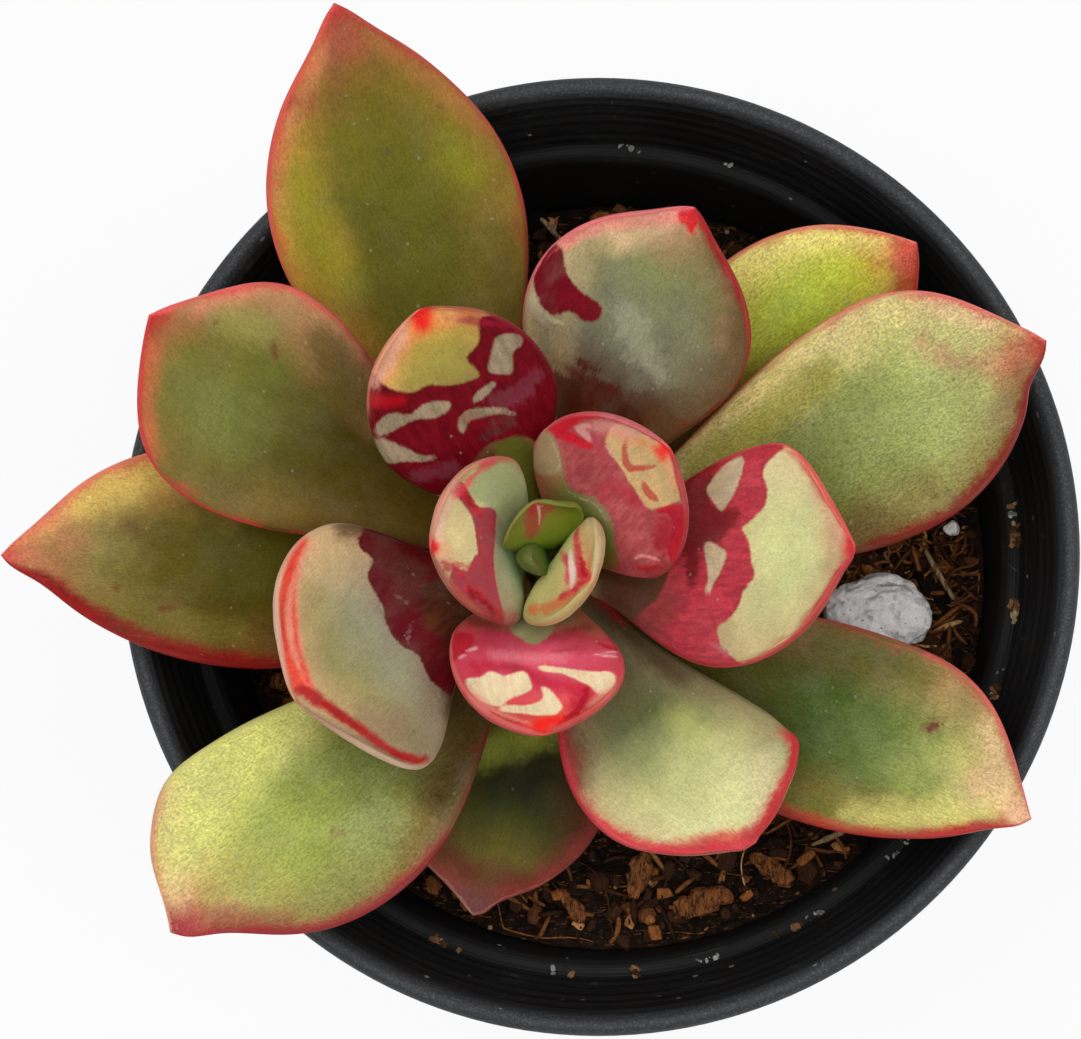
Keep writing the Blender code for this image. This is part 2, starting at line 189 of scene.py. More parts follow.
def nearest_gaps(places, targets):
    """How far each place is from the nearest target."""
    tree = kdtree.KDTree(len(targets))
    for number, target in enumerate(targets):
        tree.insert(target, number)
    tree.balance()
    return np.array([tree.find(place)[2] for place in places])


# ---------------------------------------------------------------- shader tools

class Recipe:
    """Short ways to add nodes to one node tree."""

    def __init__(self, tree):
        self.tree = tree

    def add(self, kind, inputs=None, **settings):
        made = self.tree.nodes.new(kind)
        for key, value in settings.items():
            setattr(made, key, value)
        for key, value in (inputs or {}).items():
            self.put(made.inputs[key], value)
        return made

    def put(self, socket, value):
        """Links another node's output to the socket, or sets a plain value."""
        if isinstance(value, bpy.types.NodeSocket):
            self.tree.links.new(value, socket)
        elif isinstance(value, tuple) and len(value) == 3 and socket.type == "RGBA":
            socket.default_value = (*value, 1)
        else:
            socket.default_value = value

    def math(self, operation, a, b=0.0, clamp=False):
        made = self.add("ShaderNodeMath", {0: a, 1: b}, operation=operation, use_clamp=clamp)
        return made.outputs[0]

    def plus(self, a, b, clamp=False):
        return self.math("ADD", a, b, clamp)

    def minus(self, a, b, clamp=False):
        return self.math("SUBTRACT", a, b, clamp)

    def times(self, a, b, clamp=False):
        return self.math("MULTIPLY", a, b, clamp)

    def step(self, value, low, high, to_low=0.0, to_high=1.0):
        """A smooth step from to_low at low to to_high at high."""
        inputs = {"Value": value, "From Min": low, "From Max": high}
        inputs |= {"To Min": to_low, "To Max": to_high}
        return self.add("ShaderNodeMapRange", inputs, interpolation_type="SMOOTHSTEP").outputs[0]

    def blend(self, share, a, b, mode="MIX"):
        made = self.add("ShaderNodeMix", data_type="RGBA", blend_type=mode)
        for key, value in ((0, share), (6, a), (7, b)):
            self.put(made.inputs[key], value)
        return made.outputs[2]

    def noise(self, vector, scale, detail=2.0, roughness=0.5, distortion=0.0):
        inputs = {"Vector": vector, "Scale": scale, "Detail": detail, "Roughness": roughness}
        return self.add("ShaderNodeTexNoise", {**inputs, "Distortion": distortion}).outputs["Fac"]

    def stretch(self, vector, scale):
        made = self.add("ShaderNodeMapping", {"Vector": vector, "Scale": scale})
        return made.outputs[0]

    def spin(self, vector, angle):
        made = self.add("ShaderNodeVectorRotate", {"Vector": vector, "Angle": angle},
                        rotation_type="Z_AXIS")
        return made.outputs[0]

    def field(self, name, vector=False):
        made = self.add("ShaderNodeAttribute", attribute_name=name)
        return made.outputs["Vector" if vector else "Fac"]

    def millimetres(self):
        """The place in the object's own frame, in millimetres."""
        place = self.add("ShaderNodeTexCoord").outputs["Object"]
        made = self.add("ShaderNodeVectorMath", {0: place, "Scale": 1 / MM}, operation="SCALE")
        return made.outputs[0]

    def shade(self, colour, gain):
        """The colour made darker or lighter by a plain number."""
        grey = self.add("ShaderNodeCombineColor", {0: gain, 1: gain, 2: gain}).outputs[0]
        return self.blend(1.0, colour, grey, "MULTIPLY")

    def cells(self, vector, scale):
        """Cells of random size: the distance to each one's middle, and its three random numbers."""
        inputs = {"Vector": vector, "Scale": scale, "Randomness": 1.0}
        made = self.add("ShaderNodeTexVoronoi", inputs)
        chance = self.add("ShaderNodeSeparateColor", {0: made.outputs["Color"]}).outputs
        return made.outputs["Distance"], chance

    def flecks(self, vector, scale, channel, rarity, largest, core):
        """Scattered round flecks, of many sizes, and the random numbers of their cells."""
        distance, chance = self.cells(vector, scale)
        size = self.step(chance[channel], rarity, 1.0, 0.0, largest)
        edges = self.times(size, core), self.plus(size, 0.0001)
        return self.step(distance, *edges, 1.0, 0.0), chance

    def use(self, group, **inputs):
        made = self.add("ShaderNodeGroup", node_tree=group)
        for key, value in inputs.items():
            self.put(made.inputs[key.replace("_", " ")], value)
        return made.outputs


def new_group(name, inputs, outputs):
    """An empty node group with named sockets, and its recipe, input node and output node."""
    group = bpy.data.node_groups.new(name, "ShaderNodeTree")
    kinds = {"value": "NodeSocketFloat", "colour": "NodeSocketColor", "vector": "NodeSocketVector"}
    for label, kind, default in inputs:
        socket = group.interface.new_socket(label, in_out="INPUT", socket_type=kinds[kind])
        if default is not None:
            socket.default_value = (*default, 1) if kind == "colour" else default
    for label, kind in outputs:
        group.interface.new_socket(label, in_out="OUTPUT", socket_type=kinds[kind])
    recipe = Recipe(group)
    return group, recipe, recipe.add("NodeGroupInput").outputs, recipe.add("NodeGroupOutput")


def new_material(name, roughness=0.5, specular=0.5):
    """A Principled material, its recipe and its shader."""
    made = bpy.data.materials.new(name)
    made.use_nodes = True
    shader = made.node_tree.nodes["Principled BSDF"]
    shader.inputs["Roughness"].default_value = roughness
    shader.inputs["Specular IOR Level"].default_value = specular
    return made, Recipe(made.node_tree), shader


def bump(recipe, height, distance, strength=1.0):
    inputs = {"Height": height, "Distance": distance * MM, "Strength": strength}
    return recipe.add("ShaderNodeBump", inputs).outputs[0]


def ragged_patch_group():
    """Cuts a patch out of a distance field, with an edge that wanders and breaks into streaks."""
    inputs = [("Distance", "value", None), ("Place", "vector", None), ("Ragged", "value", 0.5),
              ("Streaks", "value", 0.3), ("Softness", "value", 0.12), ("Grain Turn", "value", 0.0)]
    group, make, given, end = new_group("ragged patch", inputs, [("Mask", "value")])
    turned = make.spin(given["Place"], given["Grain Turn"])
    wander = make.minus(make.noise(given["Place"], 0.55, 3.0, 0.6), 0.5)
    streaks = make.minus(make.noise(make.stretch(turned, (2.6, 0.5, 2.0)), 1.0, 3.0, 0.6), 0.5)
    fine = make.minus(make.noise(given["Place"], 3.5, 2.0, 0.6), 0.5)
    shift = make.times(wander, make.times(given["Ragged"], 4.0))
    shift = make.plus(shift, make.times(streaks, make.times(given["Streaks"], 4.0)))
    shift = make.plus(shift, make.times(fine, 0.14))
    moved = make.plus(given["Distance"], shift)
    low = make.times(given["Softness"], -1.0)
    make.put(end.inputs["Mask"], make.step(moved, low, given["Softness"]))
    return group


def leaf_edge_group():
    """The coloured line that runs round a leaf's margin, and the blush that spreads in from it."""
    inputs = [("Rim", "value", None), ("Place", "vector", None), ("Line Width", "value", 0.6),
              ("Line Strength", "value", 1.0), ("Blush Width", "value", 2.0),
              ("Blush Strength", "value", 0.5)]
    outputs = [("Line", "value"), ("Blush", "value"), ("Under", "value")]
    group, make, given, end = new_group("leaf edge", inputs, outputs)
    slow = make.noise(given["Place"], 0.14, 3.0, 0.6)
    fine = make.noise(given["Place"], 1.6, 3.0, 0.6)
    blotch = make.noise(given["Place"], 0.4, 4.0, 0.65)
    width = make.times(given["Line Width"], make.step(slow, 0.36, 0.66, 0.45, 1.5))
    width = make.times(width, make.step(fine, 0.3, 0.7, 0.7, 1.3))
    inner = make.step(given["Rim"], make.times(width, 0.2), width, 1.0, 0.0)
    line = make.times(inner, make.step(given["Rim"], -1.0, -0.35))
    line = make.times(line, make.step(blotch, 0.3, 0.52, 0.7, 1.0))
    make.put(end.inputs["Line"], make.times(line, given["Line Strength"]))
    reach = make.times(given["Blush Width"], make.step(slow, 0.32, 0.68, 0.4, 1.6))
    reach = make.times(reach, make.step(blotch, 0.3, 0.7, 0.6, 1.4))
    blush = make.math("POWER", make.step(given["Rim"], 0.0, reach, 1.0, 0.0), 1.7)
    blush = make.times(blush, make.step(fine, 0.3, 0.7, 0.8, 1.0))
    make.put(end.inputs["Blush"], make.times(blush, given["Blush Strength"]))
    make.put(end.inputs["Under"], make.step(given["Rim"], -1.5, -0.4, 1.0, 0.0))
    return group


def waxy_skin_group():
    """The grain of a succulent leaf: fine raised cells, slow mottling, flecks and dark specks."""
    inputs = [("Colour", "colour", (0.5, 0.5, 0.5)), ("Place", "vector", None),
              ("Grain", "value", 0.5), ("Bloom", "value", 0.2), ("Flecks", "value", 0.5)]
    outputs = [("Colour", "colour"), ("Roughness", "value"), ("Height", "value")]
    group, make, given, end = new_group("waxy skin", inputs, outputs)
    place = given["Place"]
    cells = make.noise(place, 3.6, 2.0, 0.6)
    fibre = make.noise(make.stretch(place, (6.0, 1.3, 4.0)), 1.0, 2.0, 0.6, 1.6)
    cloud = make.noise(place, 0.22, 3.0, 0.55)
    grain = make.plus(make.times(cells, 0.4), make.times(fibre, 0.6))
    light = make.step(grain, 0.32, 0.68, 0.0, 1.0)
    shade = make.times(given["Grain"], make.minus(light, 0.5))
    gain = make.plus(1.0, make.times(shade, 0.85))
    gain = make.times(gain, make.step(cloud, 0.3, 0.7, 0.92, 1.08))
    colour = make.shade(given["Colour"], gain)
    # a pale waxy bloom, rubbed off in patches
    rubbed = make.noise(make.stretch(place, (1.0, 0.6, 1.0)), 0.26, 3.0, 0.55)
    bloom = make.times(make.step(rubbed, 0.42, 0.7), make.step(grain, 0.35, 0.65, 0.5, 1.0))
    bloom = make.times(bloom, given["Bloom"])
    colour = make.blend(bloom, colour, (0.4, 0.42, 0.3))
    # pale flecks of dust and hard water, and small dark specks
    fleck, _ = make.flecks(place, 0.75, 0, 0.55, 0.17, 0.6)
    fleck = make.times(fleck, given["Flecks"])
    colour = make.blend(make.times(fleck, 0.4), colour, (0.62, 0.6, 0.45))
    spot, _ = make.flecks(place, 0.33, 1, 0.6, 0.1, 0.4)
    spot = make.times(spot, given["Flecks"])
    colour = make.blend(make.times(spot, 0.55), colour, (0.1, 0.06, 0.03))
    make.put(end.inputs["Colour"], colour)
    rough = make.plus(make.step(cloud, 0.3, 0.7, 0.4, 0.52), make.times(bloom, 0.4))
    make.put(end.inputs["Roughness"], rough)
    height = make.plus(make.times(grain, 0.7), make.times(rubbed, 0.3))
    height = make.plus(height, make.times(fleck, 0.3))
    make.put(end.inputs["Height"], height)
    return group


RAGGED_PATCH = ragged_patch_group()
LEAF_EDGE = leaf_edge_group()
WAXY_SKIN = waxy_skin_group()


# ---------------------------------------------------------------- how a leaf is coloured

@dataclass
class Mark:
    """One colour laid over a leaf. A shape is a list of places (along, across), and a stroke's
    places have a third number: its half width there in millimetres. Colours are screen values."""

    colour: tuple
    shapes: list
    second: tuple = None  # the colour it drifts to in streaks
    ragged: float = 0.1  # how far its edge wanders, in millimetres
    streaks: float = 0.12  # how far the leaf's grain draws its edge out
    softness: float = 0.2
    strength: float = 1.0
    turn: float = 0.0  # the grain's turn off the leaf's length, in degrees

    def __post_init__(self):
        self.colour = srgb(*self.colour)
        self.second = self.second and srgb(*self.second)


def wash(red, green, blue, *stroke, strength=0.6, softness=1.4):
    """A broad soft-edged stroke of one colour."""
    return Mark((red, green, blue), [list(stroke)], ragged=0.4, streaks=0.4,
                softness=softness, strength=strength)


@dataclass
class Coat:
    """How one leaf is coloured and finished: screen colours, and lengths in millimetres."""

    base: list  # (along, colour) from the foot to the tip: the leaf's own colours, with painted shade in the darker stops near the foot
    rim: tuple  # the line round the margin, in its colour on the left one, which differs from the right one's by painted light and shade
    far_rim_painted_light: tuple  # the same along the right margin, painted lighter or darker than the left for the light on that side
    tip: tuple
    under: tuple
    slot: str = "leaf_green"
    rim_width: float = 0.7
    rim_strength: float = 0.85
    rim_inset: float = 0.0  # a band of the underside's colour left outside the line
    blush_width: float = 2.0
    blush_strength: float = 0.35
    tip_reach: float = 3.0
    grain: float = 0.5
    bloom: float = 0.12
    flecks: float = 0.5
    left: tuple = None  # (colour, strength) taken on towards that margin: partly the leaf's own colour, partly painted light on a lit side and painted shade on a shaded one
    right: tuple = None
    bare: list = field(default_factory=list)  # (side, from, to) stretches of margin with no line
    marks: list = field(default_factory=list)
    swells: list = field(default_factory=list)  # (along, across, reach, (x, y, z)) local pushes
    spread: tuple = (1.0, 1.0)  # growth in width and depth about the leaf's own middle

    def __post_init__(self):
        self.base = [(along, srgb(*colour)) for along, colour in self.base]
        for name in ("rim", "far_rim_painted_light", "tip", "under"):
            setattr(self, name, srgb(*getattr(self, name)))
        for name in ("left", "right"):
            if getattr(self, name):
                colour, strength = getattr(self, name)
                setattr(self, name, (srgb(*colour), strength))

    def with_marks(self, *marks):
        self.marks = list(marks)
        return self


# ---------------------------------------------------------------- leaf shapes

def leaf_rings(node, axis):
    """A leaf solid's foot, its rings of points from foot to tip, and its tip.

    Each ring starts at the left margin and goes round over the upper face.
    """
    points, faces = solid_points(node)
    near = neighbours_of(points, faces)
    poles = [i for i in range(len(points)) if len(near[i]) == CROSS_POINTS]
    tip = max(poles, key=lambda i: math.dist(points[i][:2], axis))
    seen, front, loops = {tip}, [tip], []
    while front:
        front = sorted({j for i in front for j in near[i]} - seen)
        seen |= set(front)
        if front:
            loops.insert(0, front)
    level = {i: k for k, loop in enumerate(loops) for i in loop} | {tip: len(loops)}
    beside = [set() for _ in points]
    for a, b, c in faces[:, [0, 1, 2, 1, 2, 0, 2, 0, 1]].reshape(-1, 3):
        if level[a] == level[b] == level[c] - 1:
            beside[a].add(b)
            beside[b].add(a)
    out = points[tip] - (*axis, 0)
    out[2] = 0
    out /= np.linalg.norm(out)
    left = np.array((-out[1], out[0], 0))
    centres = [points[loop].mean(0) for loop in loops] + [points[tip]]
    rings = []
    for k, loop in enumerate(loops):
        if len(loop) < CROSS_POINTS:
            continue
        forward = centres[k + 1] - centres[max(k - 1, 0)]
        forward /= np.linalg.norm(forward)
        up = np.cross(forward, left - forward * (forward @ left))
        order = [max(loop, key=lambda i: points[i] @ left)]
        order.append(max(beside[order[0]], key=lambda i: points[i] @ up))
        while len(order) < len(loop):
            order.append(next(j for j in sorted(beside[order[-1]]) if j not in order))
        rings.append(points[order])
    if len(rings) < len(loops):
        rings.insert(0, rings[0] + centres[0] - centres[1])
    return centres[0], np.array(rings), points[tip]


class LeafShape:
    """A smooth leaf drawn through its solid's rings, and a flat map of it in millimetres."""

    def __init__(self, node, axis):
        self.foot, rings, self.tip = leaf_rings(node, axis)
        # the margins run straight on to the tip
        ends = rings[-2:].mean(1)
        gaps = np.linalg.norm(ends - self.tip, axis=1)
        rings[-1] = ends[1] + (rings[-2] - ends[0]) * 1.12 * gaps[1] / gaps[0]
        self.rings = np.concatenate([rings, np.repeat(self.tip[None, None], CROSS_POINTS, 1)])
        self.steps = np.linspace(0, 1, 81)
        edges = self.skin(self.steps, (0, math.pi))
        middle = self.skin(self.steps, (math.pi / 2,))[:, 0]
        self.half_widths = np.linalg.norm(edges[:, 0] - edges[:, 1], axis=1) / 2
        self.lengths = np.append(0, np.cumsum(np.linalg.norm(np.diff(middle, axis=0), axis=1)))
        self.half_width = self.half_widths.max()
        self.length = self.lengths[-1]

    def skin(self, along, turns):
        """Points on the leaf for each step along it and each angle round it."""
        last = len(self.rings) - 1
        rows = last * (1 - (1 - np.asarray(along, float)) ** (1 / 1.5))
        columns = np.asarray(turns) / (2 * math.pi) * CROSS_POINTS
        weights = spline_weights(last + 1, rows), spline_weights(CROSS_POINTS, columns, closed=True)
        return np.einsum("ak,bn,knc->abc", *weights, self.rings)

    def flat(self, along, across):
        """Places on the leaf as flat points: millimetres off the middle, and from the foot."""
        half = np.interp(along, self.steps, self.half_widths)
        return np.stack([across * half, np.interp(along, self.steps, self.lengths)], axis=-1)


def distance_inside(points, shape, leaf):
    """How far each flat point is inside a shape on the leaf, negative outside it."""
    shape = np.array(shape, float)
    count = len(shape)
    stroke = shape.shape[1] == 3
    fine = np.linspace(0, count - 1, 6 * (count - 1) + 1) if stroke else np.arange(0, count, 0.2)
    fine = spline_weights(count, fine, closed=not stroke) @ shape
    corners = leaf.flat(np.clip(fine[:, 0], 0, 1), fine[:, 1])
    starts, ends = (corners[:-1], corners[1:]) if stroke else (corners, np.roll(corners, -1, 0))
    best = np.full(len(points), -1e3 if stroke else 1e3)
    inside = np.zeros(len(points), bool)
    for k, (start, end) in enumerate(zip(starts, ends)):
        run = end - start
        share = np.clip((points - start) @ run / max(run @ run, 1e-12), 0, 1)
        gap = np.linalg.norm(points - start - share[:, None] * run, axis=1)
        if stroke:
            half = fine[k, 2] + share * (fine[k + 1, 2] - fine[k, 2])
            best = np.maximum(best, half - gap)
            continue
        best = np.minimum(best, gap)
        crosses = (start[1] > points[:, 1]) != (end[1] > points[:, 1])
        rise = run[1] if abs(run[1]) > 1e-12 else 1e-12
        inside ^= crosses & (points[:, 0] < start[0] + (points[:, 1] - start[1]) / rise * run[0])
    return best if stroke else np.where(inside, best, -best)


def swollen(points, leaf, swells):
    """Points moved by each of a leaf's local pushes."""
    for place, side, reach, push in swells:
        centre = leaf.skin((place,), (math.acos(side),))[0, 0]
        near = np.exp(-(np.linalg.norm(points - centre, axis=-1) / reach) ** 2)
        points = points + near[..., None] * np.array(push)
    return points


def points_for(size, per_millimetre, fewest, most):
    return int(np.clip(size * per_millimetre, fewest, most))


def build_leaf(node, coat, axis, seed):
    """A leaf with a waxy, slightly uneven skin, and the fields that its colours read."""
    leaf = LeafShape(node, axis)
    size = leaf.length + 2 * leaf.half_width
    rows = points_for(size, 1.35, 76, 112)
    top, bottom = points_for(size, 0.8, 54, 70), points_for(size, 0.34, 22, 30)
    along = np.linspace(0, 1, rows + 1)[:-1]
    along = along + 0.12 * along * (1 - along)  # rows come closer together near the tip
    share = np.linspace(0, 1, top + 1)[:-1]
    across = 0.4 * np.cos(math.pi * share) + 0.6 * (1 - 2 * share)
    turns = np.concatenate([np.arccos(across), math.pi * (1 + np.linspace(0, 1, bottom + 1)[:-1])])
    across = np.cos(turns)
    columns = len(turns)
    face = np.where(turns < math.pi, 1.0, -1.0)
    face[[0, top]] = 0

    grid = leaf.skin(along, turns)
    core = grid.mean(1, keepdims=True)
    grid = swollen(core + (grid - core) * (*coat.spread, 1.0), leaf, coat.swells)
    foot_point, tip_point = swollen(np.array([leaf.foot, leaf.tip]), leaf, coat.swells)
    down = np.gradient(grid, axis=0)
    round_it = (np.roll(grid, -1, 1) - np.roll(grid, 1, 1)) / 2
    out = np.cross(round_it, down)
    out /= np.maximum(np.linalg.norm(out, axis=-1, keepdims=True), 1e-9)
    middle = grid.mean(1, keepdims=True)
    if np.sum(out * (grid - middle)) < 0:
        out = -out

    margins = leaf.skin(np.linspace(0, 1, 240), (0, math.pi)).reshape(-1, 3)
    margins = swollen(margins, leaf, coat.swells)
    rim = nearest_gaps(grid.reshape(-1, 3), margins)
    rim = rim.reshape(rows, columns) * np.where(face < 0, -1.0, 1.0)
    tip = np.linalg.norm(grid - tip_point, axis=-1)

    calm = smooth_step(0, 2.5, np.abs(rim)) * smooth_step(0, 4, tip)
    waves = 0.1 * soft_noise(grid, 7.0, seed) + 0.05 * soft_noise(grid, 2.6, seed + 1, 2)
    lines = 0.035 * soft_noise(np.stack([across * leaf.half_width * np.ones((rows, 1)) / 0.9,
                                         (along * leaf.length / 6)[:, None] + 0 * across,
                                         face * 3 * np.ones((rows, 1))], -1), 1.0, seed + 2, 2)
    bead = 0.03 * np.exp(-(rim / 0.6) ** 2) * smooth_step(0, 2, tip)
    grid = grid + out * (calm * (waves + lines) + bead)[..., None]

    points = np.concatenate([grid.reshape(-1, 3), [foot_point, tip_point]])
    faces = grid_faces(rows, columns)
    foot = rows * columns
    faces += end_faces(columns, foot, foot + 1, foot - columns)

    flat = leaf.flat(np.repeat(along, columns), np.tile(across, rows))
    height = ((grid - middle) * out).sum(-1).reshape(-1) * np.tile(np.where(face < 0, -1, 1), rows)
    place = np.column_stack([flat + 40 * seed, height])

    def with_ends(values, at_foot, at_tip):
        values = np.asarray(values).reshape(rows * columns, -1)
        return np.concatenate([values, [[at_foot]], [[at_tip]]]).ravel()

    edge = np.ones((rows, columns))
    for side, start, end in coat.bare:
        stretch = smooth_step(start - 0.08, start, along)
        stretch = stretch * (1 - smooth_step(end - 0.05, end + 0.05, along))
        edge *= 1 - stretch[:, None] * smooth_step(0.2, 0.6, side * across)

    fields = {
        "along": with_ends(np.repeat(along, columns), 0, 1),
        "across": with_ends(np.tile(across, rows), 0, 0),
        "edge": with_ends(edge, 1, 1),
        "rim": with_ends(rim, 1.5, 0),
        "tip": with_ends(tip, leaf.length, 0),
        "under": with_ends(np.tile(np.where(face < 0, 1.0, 0.0), rows), 0, 0),
        "place": np.vstack([place, place[0], place[-1]]),
    }
    for number, mark in enumerate(coat.marks):
        inside = np.max([distance_inside(flat, shape, leaf) for shape in mark.shapes], axis=0)
        fields[f"mark_{number}"] = with_ends(inside, -5, inside[-1])
    finish = leaf_material(node, coat)
    return mesh_piece(f"{node}_skin", points, faces, finish, (node,), fields)


def leaf_material(name, coat):
    """One leaf's colours: the blade, then its marks, then its margin, tip and waxy skin."""
    made, make, shader = new_material(f"{name} skin", specular=0.15)
    place = make.field("place", vector=True)
    slow = make.minus(make.noise(place, 0.16, 3.0, 0.6), 0.5)
    along = make.plus(make.field("along"), make.times(slow, 0.22))
    # the ramp carries painted shade: its darker stops near the foot stand for the shade among the
    # crowded leaves
    ramp = make.add("ShaderNodeValToRGB", {0: along})
    stops = ramp.color_ramp.elements
    while len(stops) < len(coat.base):
        stops.new(0.5)
    for stop, (where, colour) in zip(stops, coat.base):
        stop.position, stop.color = where, (*colour, 1)
    colour = ramp.outputs[0]

    across = make.plus(make.field("across"), make.times(slow, 0.5))
    # painted light and shade: each margin's tint is partly the leaf's own colour and partly painted
    # light on the lit side, painted shade on the shaded side
    for side, tint in ((1.0, coat.left), (-1.0, coat.right)):
        if tint:
            share = make.step(make.times(across, side), 0.25, 1.0, 0.0, tint[1])
            colour = make.blend(share, colour, tint[0])

    under = make.field("under")
    seen = make.minus(1.0, make.times(under, 0.55))
    drift = make.noise(make.stretch(place, (1.5, 0.4, 1.0)), 1.0, 3.0, 0.6)
    for number, mark in enumerate(coat.marks):
        given = {"Distance": make.field(f"mark_{number}"), "Place": place, "Ragged": mark.ragged,
                 "Streaks": mark.streaks, "Softness": mark.softness,
                 "Grain_Turn": math.radians(mark.turn)}
        mask = make.use(RAGGED_PATCH, **given)["Mask"]
        mask = make.times(mask, make.times(seen, mark.strength))
        tint = mark.colour
        if mark.second:
            tint = make.blend(make.step(drift, 0.35, 0.65, 0.0, 0.8), mark.colour, mark.second)
        colour = make.blend(mask, colour, tint)

    rim = make.minus(make.field("rim"), coat.rim_inset)
    given = {"Rim": rim, "Place": place, "Line_Width": coat.rim_width,
             "Line_Strength": coat.rim_strength, "Blush_Width": coat.blush_width,
             "Blush_Strength": coat.blush_strength}
    edge = make.use(LEAF_EDGE, **given)
    lined = make.field("edge")
    # painted light and painted shade: the line takes one colour on the left margin and another on
    # the right, one side lit and the other shaded
    rim_with_painted_light = make.blend(make.step(across, -0.3, 0.3), coat.far_rim_painted_light, coat.rim)
    blush = make.blend(1.0, rim_with_painted_light, (0.78, 0.34, 0.42), "MULTIPLY")
    colour = make.blend(make.times(edge["Blush"], lined), colour, blush)
    tip = make.plus(make.field("tip"), make.times(slow, coat.tip_reach * 1.5))
    glow = make.step(tip, coat.tip_reach * 0.15, coat.tip_reach, 0.92, 0.0)
    colour = make.blend(glow, colour, coat.tip)
    pale = make.blend(make.step(make.field("tip"), 1.0, 9.0, 0.45, 0.0), coat.under, rim_with_painted_light)
    colour = make.blend(edge["Under"], colour, pale)
    colour = make.blend(make.times(edge["Line"], lined), colour, rim_with_painted_light)

    skin = make.use(WAXY_SKIN, Colour=colour, Place=place, Grain=coat.grain, Bloom=coat.bloom,
                    Flecks=coat.flecks)
    make.put(shader.inputs["Base Color"], skin["Colour"])
    make.put(shader.inputs["Roughness"], skin["Roughness"])
    make.put(shader.inputs["Normal"], bump(make, skin["Height"], 0.12, 0.9))
    shader.inputs["Subsurface Weight"].default_value = 0.06
    shader.inputs["Subsurface Radius"].default_value = (1.0, 0.6, 0.25)
    shader.inputs["Subsurface Scale"].default_value = 1.2 * MM
    return made


# ---------------------------------------------------------------- the colours of the plant

CRIMSON = (122, 8, 26)
DEEP_CRIMSON = (98, 2, 14)
MAUVE = (126, 46, 66)
GREY_WINDOW = (170, 150, 122)

COATS = {}
COATS["leaf_01_front_low"] = Coat(
    # the dark stops at 0.56 and 0.68 are painted shadow across the middle of this leaf
    base=[(0.42, (84, 74, 14)), (0.56, (40, 42, 6)), (0.68, (62, 66, 14)), (0.8, (104, 96, 28)),
        (0.95, (106, 54, 36))],
    rim=(168, 96, 84), far_rim_painted_light=(188, 130, 112), tip=(110, 62, 62), under=(126, 96, 76),
    rim_width=0.3, rim_strength=0.75, blush_width=2.6, blush_strength=0.75, tip_reach=5,
    bloom=0.03, left=((88, 30, 8), 0.75), right=((120, 92, 30), 0.6)).with_marks(
    # painted shadow: a dark band across the middle of the leaf, where the leaves above shade it
    wash(34, 30, 0, (0.42, 0.3, 1.5), (0.52, 0.2, 1.8), (0.6, 0.15, 1.2), strength=0.7),
    wash(140, 110, 60, (0.84, -0.75, 1), (0.93, -0.6, 1)),
    Mark((112, 46, 30), [[(0.8, 1, 2.2), (0.68, 1, 1.8), (0.55, 1, 0.5)], [(0.9, -0.5, 2),
        (0.8, -0.95, 2.2), (0.65, -1, 1.6)]], ragged=0.9, softness=1.1, strength=0.7),
    # painted light: a yellow-green strip near the foot, where light falls past the leaves above
    Mark((168, 176, 66), [[(0.4, 0.5, 1), (0.43, 0.1, 1.5), (0.47, -0.3, 1.9), (0.52, -0.6, 1.7)]],
        ragged=0.7, softness=1.6, strength=0.85))
COATS["leaf_02_back_right_low"] = Coat(
    base=[(0.4, (128, 112, 34)), (0.6, (168, 156, 52)), (0.74, (172, 184, 54)),
        (0.85, (184, 176, 54)), (0.95, (214, 124, 76))],
    rim=(248, 132, 112), far_rim_painted_light=(166, 44, 44), tip=(222, 84, 66), under=(172, 150, 90),
    rim_width=0.55, rim_strength=0.9, blush_width=1.6, blush_strength=0.7, tip_reach=4,
    grain=0.85, flecks=0.7, left=((250, 236, 128), 0.9), right=((160, 122, 40), 0.65)).with_marks(
    wash(255, 236, 140, (0.6, 0.95, 1.2), (0.75, 0.95, 1.4), (0.88, 0.9, 1.6), (0.95, 0.6, 1.4)),
    wash(192, 212, 72, (0.6, 0.3, 2), (0.75, 0.35, 2.4), (0.86, 0.35, 1.6), softness=2),
    wash(152, 76, 36, (0.9, -0.5, 1), (0.95, -0.4, 1), strength=0.5),
    Mark((160, 58, 36), [[(1, -0.2, 1.6), (0.94, -0.7, 1.8), (0.88, -1, 1.6)]], ragged=1,
        softness=1.4, strength=0.75))
